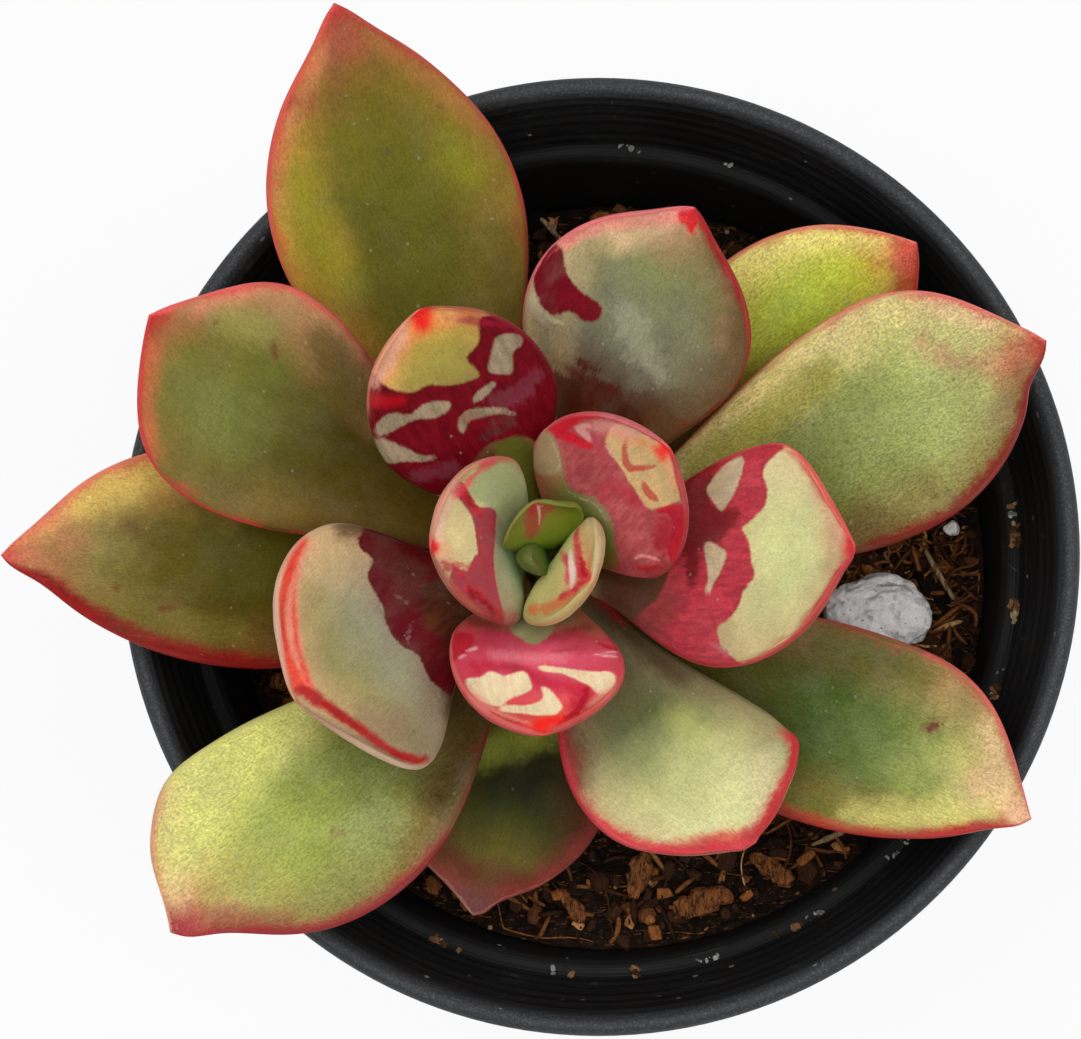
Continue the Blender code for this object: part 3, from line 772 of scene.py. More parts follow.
COATS["leaf_03_left"] = Coat(
    base=[(0.4, (86, 80, 14)), (0.6, (82, 77, 8)), (0.72, (94, 82, 14)), (0.84, (140, 124, 62)),
        (0.95, (196, 124, 84))],
    rim=(164, 26, 32), far_rim_painted_light=(250, 140, 116), tip=(222, 88, 80), under=(196, 150, 110),
    rim_width=0.55, blush_width=1.8, blush_strength=0.7, tip_reach=3.5, grain=0.6, bloom=0.05,
    left=((126, 78, 34), 0.75), right=((238, 188, 106), 0.9),
    swells=[(0.98, 0, 3, (-0.35, -0.2, 0))]).with_marks(
    wash(124, 116, 46, (0.58, 0.7, 1.3), (0.7, 0.68, 1.6), (0.8, 0.65, 1.2)),
    wash(250, 180, 124, (0.72, -0.95, 0.9), (0.85, -0.93, 1.1), (0.93, -0.8, 1), strength=0.5),
    Mark((222, 196, 100), [[(0.86, -0.75, 1.4), (0.76, -0.82, 1.8), (0.7, -0.85, 1.2)]], ragged=0.7,
        softness=1.6, strength=0.7),
    Mark((142, 22, 18), [[(0.96, 0.95, 0.5), (0.85, 0.98, 1.5), (0.7, 1.02, 1.9), (0.6, 1.02, 1.6),
        (0.5, 1.02, 1.2)]], second=(116, 26, 14), ragged=0.45, streaks=0.3, softness=0.7,
        strength=0.92),
    Mark((92, 54, 22), [[(0.775, -0.32, 1), (0.765, -0.2, 0.6)]], ragged=0.6, softness=0.9,
        strength=0.55),
    Mark((112, 44, 26), [[(0.72, 0.55, 0.3), (0.7, 0.5, 0.2)], [(0.8, 0.42, 0.35)] * 2,
        [(0.66, 0.72, 0.3)] * 2, [(0.78, 0.68, 0.25)] * 2], ragged=0.5, softness=0.35,
        strength=0.6))
COATS["leaf_04_right_front"] = Coat(
    base=[(0.4, (86, 84, 30)), (0.55, (72, 92, 32)), (0.66, (104, 122, 56)), (0.78, (146, 156, 80)),
        (0.86, (202, 194, 116)), (0.95, (236, 196, 144))],
    rim=(232, 112, 104), far_rim_painted_light=(200, 56, 60), tip=(240, 186, 148), under=(206, 150, 116),
    rim_width=0.55, blush_width=1.4, blush_strength=0.75, tip_reach=4, grain=0.7, bloom=0.1,
    left=((176, 130, 88), 0.75), right=((168, 108, 58), 0.6)).with_marks(
    wash(88, 96, 34, (0.5, 0.8, 1.8), (0.6, 0.82, 2), (0.7, 0.8, 1.5), strength=0.7),
    wash(110, 116, 44, (0.58, -0.85, 1.6), (0.68, -0.85, 1.8), strength=0.7),
    wash(240, 206, 152, (0.86, 0.8, 1.2), (0.92, 0.6, 1.6), strength=0.65),
    wash(200, 70, 58, (0.84, -0.97, 0.6), (0.9, -0.8, 1), (0.95, -0.55, 0.9), softness=0.8),
    Mark((222, 214, 124), [[(0.92, -0.5, 1.6), (0.83, -0.62, 1.9), (0.7, -0.8, 1.2)]], ragged=0.8,
        softness=1.9, strength=0.8),
    Mark((110, 66, 48), [[(0.765, 0.47, 0.8), (0.75, 0.38, 0.5)]], ragged=0.8, softness=0.8,
        strength=0.6),
    Mark((186, 66, 48), [[(0.96, -0.8, 0.6), (0.9, -0.95, 0.9), (0.75, -1.02, 1.1),
        (0.58, -1.02, 1.3)]], ragged=0.4, softness=0.5, strength=0.8),
    Mark((112, 40, 30), [[(0.78, 0.52, 0.12), (0.765, 0.45, 0.3), (0.755, 0.36, 0.2)]], ragged=0.3,
        streaks=0.3, softness=0.2, strength=0.75))
COATS["leaf_05_back"] = Coat(
    base=[(0.4, (94, 84, 26)), (0.55, (92, 89, 18)), (0.68, (102, 99, 20)), (0.8, (116, 106, 26)),
        (0.88, (132, 96, 34)), (0.96, (170, 76, 58))],
    rim=(238, 98, 90), far_rim_painted_light=(202, 82, 74), tip=(206, 66, 62), under=(170, 120, 76),
    rim_width=0.55, blush_width=1.8, blush_strength=0.65, tip_reach=4, grain=0.55, bloom=0.05,
    left=((196, 152, 62), 0.9), right=((150, 118, 48), 0.75),
    swells=[(0.92, -1, 5, (0.5, 0.2, 0))]).with_marks(
    wash(90, 84, 20, (0.42, 0.35, 2.4), (0.52, 0.4, 2.4), (0.58, 0.2, 2), strength=0.75,
        softness=2.2),
    wash(100, 90, 30, (0.42, -0.75, 1.6), (0.55, -0.8, 1.8), strength=0.5),
    wash(222, 132, 98, (0.72, 0.95, 0.9), (0.84, 0.93, 1.2), (0.93, 0.8, 1.3)),
    wash(186, 120, 68, (0.74, -0.93, 1), (0.86, -0.9, 1.4), (0.93, -0.75, 1.2)),
    Mark((138, 138, 26), [[(0.74, 0.68, 1.8), (0.64, 0.7, 2.4), (0.56, 0.66, 1.6)],
        [(0.72, -0.62, 1.4), (0.66, -0.66, 1.6)]], ragged=1, softness=2.6, strength=0.7),
    Mark((166, 88, 58), [[(0.98, 0.3, 1.8), (0.92, -0.1, 1.4)], [(0.86, 0.72, 1)] * 2], ragged=1.2,
        streaks=0.5, softness=1.4, strength=0.8),
    Mark((92, 70, 52), [[(0.74, -0.1, 0.35)] * 2, [(0.79, -0.72, 0.3)] * 2], ragged=0.4,
        softness=0.4, strength=0.5))
COATS["leaf_06_front_left"] = Coat(
    base=[(0.3, (84, 66, 26)), (0.45, (104, 108, 50)), (0.58, (128, 138, 64)),
        (0.74, (164, 174, 82)), (0.86, (190, 180, 100)), (0.95, (200, 118, 94))],
    rim=(172, 52, 62), far_rim_painted_light=(246, 170, 140), tip=(176, 54, 62), under=(196, 160, 120),
    rim_width=0.5, blush_width=1.6, blush_strength=0.65, tip_reach=4.5, grain=0.8, bloom=0.12,
    bare=[(-1, 0.2, 0.85)], left=((136, 102, 60), 0.8), right=((226, 222, 134), 0.95),
    swells=[(0.9, 1, 6, (0, 0.6, 0)), (0.93, -1, 4, (-0.7, 0, 0))]).with_marks(
    wash(58, 46, 4, (0.15, 0.9, 1.6), (0.35, 0.8, 2.2), (0.46, 0.75, 1.6), strength=0.8,
        softness=1.8),
    wash(152, 158, 86, (0.62, 0.7, 1.6), (0.76, 0.68, 1.8)),
    wash(158, 80, 64, (0.84, 0.8, 1.2), (0.9, 0.62, 1.4), (0.93, 0.35, 1)),
    wash(246, 216, 150, (0.82, -0.85, 1.2), (0.91, -0.7, 1.6), (0.95, -0.4, 1)),
    wash(178, 186, 96, (0.58, -0.85, 1.6), (0.7, -0.75, 1.8), strength=0.5),
    Mark((220, 220, 122), [[(0.88, -0.5, 2.2), (0.8, -0.6, 3), (0.66, -0.75, 2.4)]], ragged=0.6,
        softness=2.4, strength=0.75),
    Mark((156, 164, 98), [[(0.62, 0.45, 2.4), (0.56, 0.5, 2)]], ragged=0.7, softness=1.8,
        strength=0.6),
    Mark((164, 58, 60), [[(0.9, 0.98, 0.9), (0.75, 1, 1), (0.6, 1.02, 1.1), (0.5, 1.02, 0.8)]],
        ragged=0.35, softness=0.6, strength=0.8),
    Mark((146, 120, 72), [[(0.655, 0.27, 0.5), (0.64, 0.33, 0.3)]], ragged=0.5, softness=0.5,
        strength=0.6))
COATS["leaf_07_right_back"] = Coat(
    base=[(0.25, (118, 104, 30)), (0.45, (118, 122, 52)), (0.58, (138, 148, 78)),
        (0.75, (170, 180, 102)), (0.87, (182, 180, 110)), (0.95, (190, 116, 84))],
    rim=(250, 128, 120), far_rim_painted_light=(152, 38, 46), tip=(186, 58, 52), under=(196, 160, 116),
    rim_width=0.5, blush_width=1.6, blush_strength=0.75, tip_reach=3.5, grain=0.95, bloom=0.12,
    flecks=0.8, left=((234, 214, 142), 0.95), right=((134, 108, 62), 0.8),
    swells=[(1, 0, 3, (0.4, 0, 0)), (0.95, -1, 2, (-0.5, 0, 0))]).with_marks(
    wash(144, 142, 52, (0.3, 0.55, 1.8), (0.45, 0.6, 2.2), (0.6, 0.62, 1.8), strength=0.7),
    wash(252, 234, 152, (0.3, 0.97, 0.5), (0.45, 0.96, 0.7), (0.65, 0.96, 0.6), softness=0.6),
    wash(208, 206, 132, (0.8, 0.4, 2), (0.9, 0.4, 2), softness=2),
    wash(254, 202, 162, (0.84, 0.93, 1), (0.92, 0.8, 1.3)),
    wash(144, 112, 70, (0.88, -0.6, 1.5), (0.94, -0.45, 1.2)),
    wash(112, 86, 44, (0.5, -0.85, 1.5), (0.6, -0.85, 1.5), strength=0.5),
    Mark((236, 214, 148), [[(0.62, 0.97, 0.6), (0.48, 0.9, 1.2), (0.38, 0.9, 1)]],
        second=(196, 188, 100), ragged=0.5, streaks=0.5, softness=0.7, strength=0.85),
    Mark((146, 46, 32), [[(0.93, -0.98, 0.8), (0.8, -1.02, 1.4), (0.68, -1.02, 1.3),
        (0.56, -1.02, 1.2)]], second=(124, 44, 30), ragged=0.5, softness=0.6, strength=0.85),
    Mark((196, 140, 108), [[(0.9, 0.1, 1.3), (0.84, 0.2, 1), (0.8, 0.5, 0.9)]], ragged=1,
        softness=0.9, strength=0.55),
    Mark((120, 50, 34), [[(0.48, -0.72, 0.5), (0.46, -0.8, 0.4)], [(0.5, -0.6, 0.25)] * 2,
        [(0.9, -0.78, 0.25)] * 2, [(0.7, -0.8, 0.2)] * 2], ragged=0.5, softness=0.3, strength=0.7))
COATS["leaf_08_left_back"] = Coat(
    base=[(0.35, (86, 68, 14)), (0.5, (78, 66, 6)), (0.64, (92, 86, 24)), (0.76, (108, 110, 38)),
        (0.87, (128, 118, 46)), (0.95, (170, 110, 62))],
    rim=(230, 74, 74), far_rim_painted_light=(252, 108, 104), tip=(196, 44, 46), under=(214, 140, 112),
    rim_width=0.7, blush_width=1.3, blush_strength=0.75, tip_reach=3.2, bloom=0.06,
    left=((138, 112, 58), 0.7), right=((200, 144, 102), 0.85),
    swells=[(0.97, 0, 4.5, (0.45, 0, 0))]).with_marks(
    wash(98, 84, 34, (0.5, -0.7, 1.8), (0.6, -0.72, 2.2), (0.68, -0.75, 1.6), strength=0.8),
    wash(108, 84, 32, (0.42, 0.95, 1), (0.56, 0.95, 1.2)),
    wash(226, 108, 74, (0.82, 0.97, 0.7), (0.9, 0.85, 1.1), (0.95, 0.6, 1), strength=0.7,
        softness=1),
    wash(242, 148, 114, (0.86, -0.95, 0.8), (0.93, -0.75, 1.2), strength=0.7),
    wash(162, 156, 84, (0.78, -0.55, 1.6), (0.87, -0.5, 1.6)),
    Mark((124, 128, 62), [[(0.84, 0.3, 3.2), (0.72, 0.3, 3.6)]], ragged=0.8, softness=2.8,
        strength=0.6),
    Mark((122, 84, 50), [[(0.55, -0.98, 1.4), (0.42, -0.98, 1.2), (0.3, -1, 1)]], ragged=0.5,
        softness=0.9, strength=0.7),
    Mark((122, 100, 52), [[(0.755, -0.5, 0.5), (0.735, -0.42, 0.4)]], ragged=0.7, softness=0.5,
        strength=0.6),
    Mark((116, 78, 34), [[(0.75, -0.48, 0.3), (0.73, -0.42, 0.2)], [(0.85, -0.25, 0.2)] * 2,
        [(0.88, -0.45, 0.25)] * 2], ragged=0.5, softness=0.25, strength=0.7))
COATS["leaf_09_front_right"] = Coat(
    base=[(0.35, (112, 104, 70)), (0.46, (106, 112, 66)), (0.56, (148, 154, 98)),
        (0.67, (200, 202, 134)), (0.86, (226, 226, 162)), (0.96, (238, 180, 150))],
    rim=(208, 48, 60), far_rim_painted_light=(228, 64, 78), tip=(186, 44, 46), under=(234, 176, 146),
    rim_width=0.7, rim_inset=0.45, rim_strength=0.9, blush_width=1.7, blush_strength=0.7,
    tip_reach=2.2, grain=0.45, bloom=0.1, bare=[(1, 0.2, 0.8)], left=((146, 130, 92), 0.8),
    right=((232, 200, 156), 0.5), swells=[(0.85, -1, 5, (0.15, 0.4, 0)),
    (1, 0, 2.5, (-0.55, 0.7, 0)), (0.87, 1, 2, (-0.3, 0, 0))]).with_marks(
    wash(82, 60, 32, (0.12, 0.85, 1.5), (0.3, 0.8, 1.4), (0.42, 0.8, 1.2), strength=0.75),
    wash(104, 68, 44, (0.3, -0.85, 1.5), (0.42, -0.85, 1.6), (0.5, -0.9, 1), strength=0.8),
    wash(222, 66, 64, (0.82, -0.94, 0.7), (0.88, -0.72, 1.2), (0.93, -0.42, 1.3), (0.96, -0.1, 0.8),
        strength=0.8, softness=0.8),
    wash(228, 214, 168, (0.82, 0.6, 1.2), (0.88, 0.5, 1.2)),
    Mark((192, 196, 112), [[(0.62, 0.3, 2), (0.55, 0.35, 1.6)]], ragged=0.5, softness=1.8,
        strength=0.6),
    Mark((120, 66, 70), [[(0.5, -0.98, 1), (0.4, -0.98, 0.9), (0.3, -0.96, 0.5)]], ragged=0.4,
        softness=0.7, strength=0.7))
COATS["leaf_10_back_middle"] = Coat(
    base=[(0.36, (74, 28, 10)), (0.46, (80, 52, 34)), (0.55, (114, 112, 88)),
        (0.66, (128, 128, 98)), (0.8, (138, 142, 88)), (0.94, (190, 146, 108))],
    rim=(252, 130, 134), far_rim_painted_light=(180, 40, 46), tip=(226, 32, 44), under=(196, 130, 116),
    slot="leaf_mottled", rim_width=0.6, blush_width=1.1, blush_strength=0.75, tip_reach=2,
    bloom=0.15, left=((206, 178, 132), 0.85), right=((110, 80, 46), 0.9)).with_marks(
    wash(72, 22, 8, (0.32, -0.4, 1.6), (0.38, -0.1, 1.8), (0.42, 0.35, 1.4), strength=0.85),
    wash(106, 88, 56, (0.42, 0.75, 1.4), (0.56, 0.8, 1.5), strength=0.65),
    wash(238, 200, 154, (0.84, 0.6, 1.6), (0.91, 0.45, 1.6), strength=0.7),
    wash(124, 118, 70, (0.8, -0.4, 1.8), (0.9, -0.4, 1.4), strength=0.5),
    Mark((254, 158, 142), [[(0.96, 0.6, 1.1), (0.88, 0.98, 1.3), (0.8, 1, 1.2), (0.74, 1.02, 0.6)]],
        ragged=0.3, softness=0.6, strength=0.85),
    Mark(CRIMSON, [[(0.75, 1.06), (0.745, 0.9), (0.7, 0.76), (0.67, 0.57), (0.66, 0.4),
        (0.635, 0.32), (0.61, 0.36), (0.6, 0.48), (0.61, 0.6), (0.58, 0.75), (0.605, 0.9),
        (0.66, 1)]], second=(108, 12, 24)),
    Mark((172, 160, 140), [[(0.585, 0.95, 0.3), (0.56, 0.84, 0.25), (0.55, 0.7, 0.1)]], ragged=0.15,
        strength=0.7),
    Mark((80, 22, 8), [[(0.43, 0.75), (0.44, 0.6), (0.455, 0.3), (0.46, 0), (0.44, -0.25),
        (0.39, -0.55), (0.3, -0.9), (0.24, -0.3), (0.24, 0.5), (0.33, 0.8)], [(0.5, 0.42, 0.2),
        (0.485, 0.3, 0.35), (0.49, 0.2, 0.1)]], second=(70, 40, 14), ragged=0.3, streaks=0.7,
        softness=0.3, strength=0.85),
    Mark((156, 124, 90), [[(0.77, -0.72, 1), (0.7, -0.75, 0.8)]], ragged=0.7, softness=0.9,
        strength=0.45),
    Mark((178, 176, 146), [[(0.66, 0.1, 1.6), (0.6, -0.1, 1.8), (0.55, -0.35, 1)]], ragged=1,
        streaks=0.6, softness=1, strength=0.4),
    Mark((92, 18, 12), [[(0.475, 0.55, 0.2), (0.455, 0.3, 0.45), (0.46, 0, 0.35),
        (0.44, -0.2, 0.1)], [(0.5, 0.42, 0.1), (0.495, 0.25, 0.3)]], second=(70, 16, 16),
        ragged=0.3, streaks=0.2, softness=0.4, strength=0.6, turn=90),
    Mark((190, 176, 140), [[(0.6, 0.96, 0.2), (0.575, 0.8, 0.3), (0.57, 0.62, 0.15)],
        [(0.63, 0.98, 0.15), (0.6, 0.9, 0.15)]], ragged=0.15, streaks=0.2, softness=0.2,
        strength=0.8),
    wash(228, 14, 40, (0.98, 0.3, 0.5), (0.965, 0, 0.9), (0.95, -0.2, 0.6), strength=0.95,
        softness=0.5))
COATS["leaf_11_inner_left"] = Coat(
    base=[(0.35, (92, 60, 22)), (0.47, (86, 36, 22)), (0.56, (150, 136, 116)),
        (0.66, (152, 152, 120)), (0.78, (160, 152, 98)), (0.92, (206, 170, 122))],
    rim=(172, 46, 44), far_rim_painted_light=(255, 112, 88), tip=(196, 28, 34), under=(250, 210, 184),
    slot="leaf_mottled", rim_width=0.4, rim_inset=1, rim_strength=0, blush_width=0.7,
    blush_strength=0, tip_reach=1, grain=0.4, bloom=0.1, left=((150, 132, 106), 0.8),
    right=((232, 194, 140), 0.85)).with_marks(
    wash(82, 48, 24, (0.46, -0.95, 1), (0.56, -0.98, 1.1), strength=0.8, softness=1),
    wash(76, 42, 20, (0.5, 0.97, 0.8), (0.58, 0.97, 0.8), strength=0.7, softness=0.9),
    wash(255, 160, 132, (0.7, -0.97, 0.7), (0.8, -0.9, 1.1), (0.88, -0.8, 1.3), (0.93, -0.6, 1.2)),
    wash(148, 122, 92, (0.78, 0.6, 1.6), (0.86, 0.5, 1.8)),
    Mark((255, 156, 132), [[(0.72, -0.99, 0.5), (0.81, -0.88, 1.2), (0.88, -0.76, 1.5),
        (0.92, -0.55, 1.3), (0.945, -0.1, 0.8)]], ragged=0.25, streaks=0.1, softness=0.6,
        strength=0.9),
    Mark((255, 92, 68), [[(0.7, -0.99, 0.4), (0.78, -0.94, 0.65), (0.86, -0.89, 0.6),
        (0.915, -0.88, 0.55), (0.94, -0.72, 0.6), (0.955, -0.2, 0.8)], [(0.78, -0.84, 0.1),
        (0.84, -0.7, 0.25), (0.875, -0.58, 0.3), (0.9, -0.42, 0.3), (0.918, -0.2, 0.3),
        (0.93, 0, 0.2)]], second=(240, 72, 58), ragged=0.15, streaks=0.05, softness=0.4),
    Mark((186, 34, 36), [[(0.955, -0.1, 0.6), (0.935, 0.15, 0.8), (0.91, 0.42, 0.7),
        (0.886, 0.68, 0.65), (0.865, 0.84, 0.6), (0.82, 0.93, 0.5), (0.78, 0.97, 0.3)]],
        second=(164, 44, 42), ragged=0.25, streaks=0.1, softness=0.45),
    Mark((104, 18, 28), [[(0.545, -0.82), (0.525, -0.68), (0.565, -0.55), (0.57, -0.38),
        (0.574, -0.22), (0.59, -0.07), (0.59, 0.12), (0.57, 0.24), (0.55, 0.4), (0.56, 0.65),
        (0.52, 0.95), (0.42, 1.15), (0.1, 1.1), (0.1, -1.1), (0.4, -1.2)]], second=(90, 14, 16),
        ragged=0.08),
    Mark((88, 52, 22), [[(0.43, 0.9), (0.44, 0.5), (0.47, 0.2), (0.46, 0), (0.42, -0.3),
        (0.33, -0.5), (0.2, -0.8), (0.1, 0), (0.2, 0.9)]], second=(70, 30, 26), ragged=0.5,
        streaks=0.6, softness=0.5, strength=0.85),
    Mark((150, 110, 116), [[(0.5, 0.02, 0.1), (0.54, 0.1, 0.18), (0.56, 0.18, 0.1)],
        [(0.515, -0.3, 0.08), (0.49, -0.2, 0.14)]], ragged=0.1, streaks=0.3, strength=0.6))
COATS["leaf_12_inner_right"] = Coat(
    base=[(0.32, (92, 62, 34)), (0.45, (110, 50, 42)), (0.6, (214, 206, 148)),
        (0.75, (219, 223, 153)), (0.86, (222, 220, 155)), (0.95, (226, 176, 138))],
    rim=(250, 98, 98), far_rim_painted_light=(216, 68, 76), tip=(222, 34, 46), under=(206, 96, 84),
    slot="leaf_mottled", rim_width=0.45, rim_strength=0.9, blush_width=1.3, blush_strength=0.75,
    tip_reach=2.4, grain=0.35, bloom=0.06, left=((252, 226, 176), 0.7),
    right=((214, 188, 138), 0.7)).with_marks(
    wash(96, 46, 36, (0.12, -0.8, 2), (0.3, -0.7, 2.4), (0.42, -0.2, 2.2), (0.5, 0, 1.4),
        strength=0.85),
    Mark((206, 66, 80), [[(0.78, 1.1), (0.745, 0.86), (0.72, 0.68), (0.722, 0.55), (0.695, 0.43),
        (0.65, 0.34), (0.625, 0.27), (0.645, 0.13), (0.648, -0.04), (0.655, -0.2), (0.62, -0.33),
        (0.6, -0.48), (0.563, -0.59), (0.527, -0.66), (0.533, -0.79), (0.558, -0.9), (0.58, -1.15),
        (0.22, -1.15), (0.3, -0.5), (0.36, -0.1), (0.4, 0.1), (0.36, 0.4), (0.36, 1.15)]],
        second=(166, 48, 64), ragged=0.08, streaks=0.1),
    Mark((116, 30, 34), [[(0.62, 0.45), (0.575, 0.25), (0.54, 0.17), (0.48, 0.12), (0.4, 0.12),
        (0.36, 0.5), (0.4, 1.1), (0.5, 1.1), (0.55, 0.98), (0.53, 0.6)], [(0.45, 0.05, 0.9),
        (0.44, -0.2, 0.7)]], second=(138, 42, 44), ragged=0.3, streaks=0.4, softness=0.5,
        strength=0.9),
    Mark((218, 196, 154), [[(0.54, 0.88), (0.575, 0.93), (0.65, 0.95), (0.635, 0.78), (0.61, 0.66),
        (0.575, 0.54), (0.55, 0.52), (0.515, 0.7), (0.51, 0.8)], [(0.492, 0.18), (0.54, 0.14),
        (0.565, 0.05), (0.545, -0.11), (0.515, -0.25), (0.498, -0.36), (0.49, -0.3), (0.5, -0.14)]],
        second=(194, 180, 148), ragged=0.06, streaks=0.08),
    Mark((200, 112, 124), [[(0.5, -0.8, 0.1), (0.54, -0.86, 0.3), (0.56, -0.92, 0.1)],
        [(0.69, 0.88, 0.1), (0.68, 0.8, 0.1)]], ragged=0.1, strength=0.6),
    wash(94, 48, 36, (0.12, -0.9, 1.4), (0.28, -0.8, 1.6), (0.36, -0.5, 1.4), strength=0.5),
    wash(192, 166, 124, (0.9, -0.4, 1), (0.95, -0.2, 0.8)))
COATS["leaf_13_inner_back"] = Coat(
    base=[(0.2, (102, 104, 30)), (0.42, (96, 60, 34)), (0.6, (130, 100, 70)),
        (0.78, (172, 158, 74)), (0.88, (202, 172, 80)), (0.96, (242, 160, 88))],
    rim=(246, 158, 136), far_rim_painted_light=(150, 40, 58), tip=(250, 40, 36), under=(158, 70, 78),
    slot="leaf_mottled", rim_width=0.3, rim_strength=0.56, blush_width=2, blush_strength=0.25,
    tip_reach=2.2, grain=0.4, bloom=0, bare=[(1, 0, 0.76)], left=((252, 190, 118), 0.9),
    right=((240, 160, 110), 0.6)).with_marks(
    Mark((254, 160, 96), [[(0.97, 0.3, 1.3), (0.9, 0.75, 1.3), (0.83, 0.9, 0.8)],
        [(0.97, -0.3, 1.3), (0.93, -0.8, 1)]], ragged=0.4, softness=1.1, strength=0.75),
    Mark(CRIMSON, [[(0.86, 1.1), (0.84, 0.86), (0.785, 0.67), (0.745, 0.45), (0.745, 0.29),
        (0.72, 0.12), (0.7, -0.09), (0.7, -0.32), (0.77, -0.27), (0.8, -0.47), (0.87, -0.7),
        (0.9, -1), (0.84, -1.1), (0.7, -1.15), (0.3, -1.15), (0.38, -0.72), (0.44, -0.4),
        (0.46, -0.1), (0.42, 0.3), (0.36, 0.8), (0.4, 1.15), (0.6, 1.15)]], second=DEEP_CRIMSON,
        ragged=0.06, streaks=0.08),
    Mark(MAUVE, [[(0.6, -0.35, 0.9), (0.58, -0.6, 1.1), (0.62, -0.85, 0.8)], [(0.47, 0.85, 0.9),
        (0.44, 0.5, 0.8)]], second=(122, 58, 60), ragged=0.5, streaks=0.5, softness=0.5,
        strength=0.8),
    Mark((100, 56, 48), [[(0.53, -0.25, 0.7), (0.5, -0.45, 0.6), (0.49, -0.05, 0.5)]],
        second=(84, 22, 34), ragged=0.3, streaks=0.5, softness=0.3, strength=0.8),
    Mark(GREY_WINDOW, [[(0.8, -0.7), (0.81, -0.83), (0.785, -0.96), (0.745, -0.88), (0.725, -0.75),
        (0.665, -0.65), (0.67, -0.56), (0.7, -0.43), (0.76, -0.57)], [(0.715, 0.92), (0.71, 0.71),
        (0.685, 0.6), (0.69, 0.45), (0.683, 0.27), (0.655, 0.12), (0.63, 0.2), (0.635, 0.38),
        (0.66, 0.6), (0.665, 0.94)], [(0.625, -0.16, 0.3), (0.635, -0.25, 0.5), (0.65, -0.4, 0.35)],
        [(0.55, 0.13, 0.4), (0.585, 0.02, 0.55), (0.572, -0.17, 0.55), (0.557, -0.33, 0.4),
        (0.52, -0.48, 0.2)], [(0.66, 0.97), (0.59, 0.78), (0.53, 0.64), (0.508, 0.55), (0.51, 0.68),
        (0.54, 0.84), (0.56, 1.02), (0.6, 1.05)]], second=(136, 122, 96), ragged=0.07, streaks=0.1),
    Mark((98, 96, 34), [[(0.45, -0.15), (0.44, -0.4), (0.385, -0.66), (0.3, -0.75), (0.1, -0.9),
        (0.1, 0.1), (0.4, -0.05)]], softness=0.35, ragged=0.3),
    Mark((190, 6, 24), [[(0.8, 0.98, 0.5), (0.77, 0.85, 0.7), (0.74, 0.6, 0.45)]], ragged=0.3,
        softness=0.5, strength=0.8),
    Mark((176, 28, 64), [[(0.93, -0.5, 0.4), (0.89, -0.75, 0.5), (0.84, -0.95, 0.4)]], ragged=0.25,
        softness=0.4, strength=0.7),
    Mark((254, 22, 26), [[(0.975, 0.2, 0.9), (0.95, 0.1, 1), (0.93, 0.05, 0.6)]], ragged=0.3,
        softness=0.9, strength=0.95),
    wash(255, 198, 172, (0.97, 0.9, 0.5), (0.92, 0.75, 0.9), (0.85, 0.92, 0.7), strength=0.7,
        softness=0.7),
    wash(255, 188, 118, (0.96, -0.8, 0.7), (0.93, -0.55, 0.8), strength=0.7, softness=0.8),
    wash(120, 6, 22, (0.52, -0.35, 0.7), (0.58, 0.05, 0.5), strength=0.4, softness=0.6))
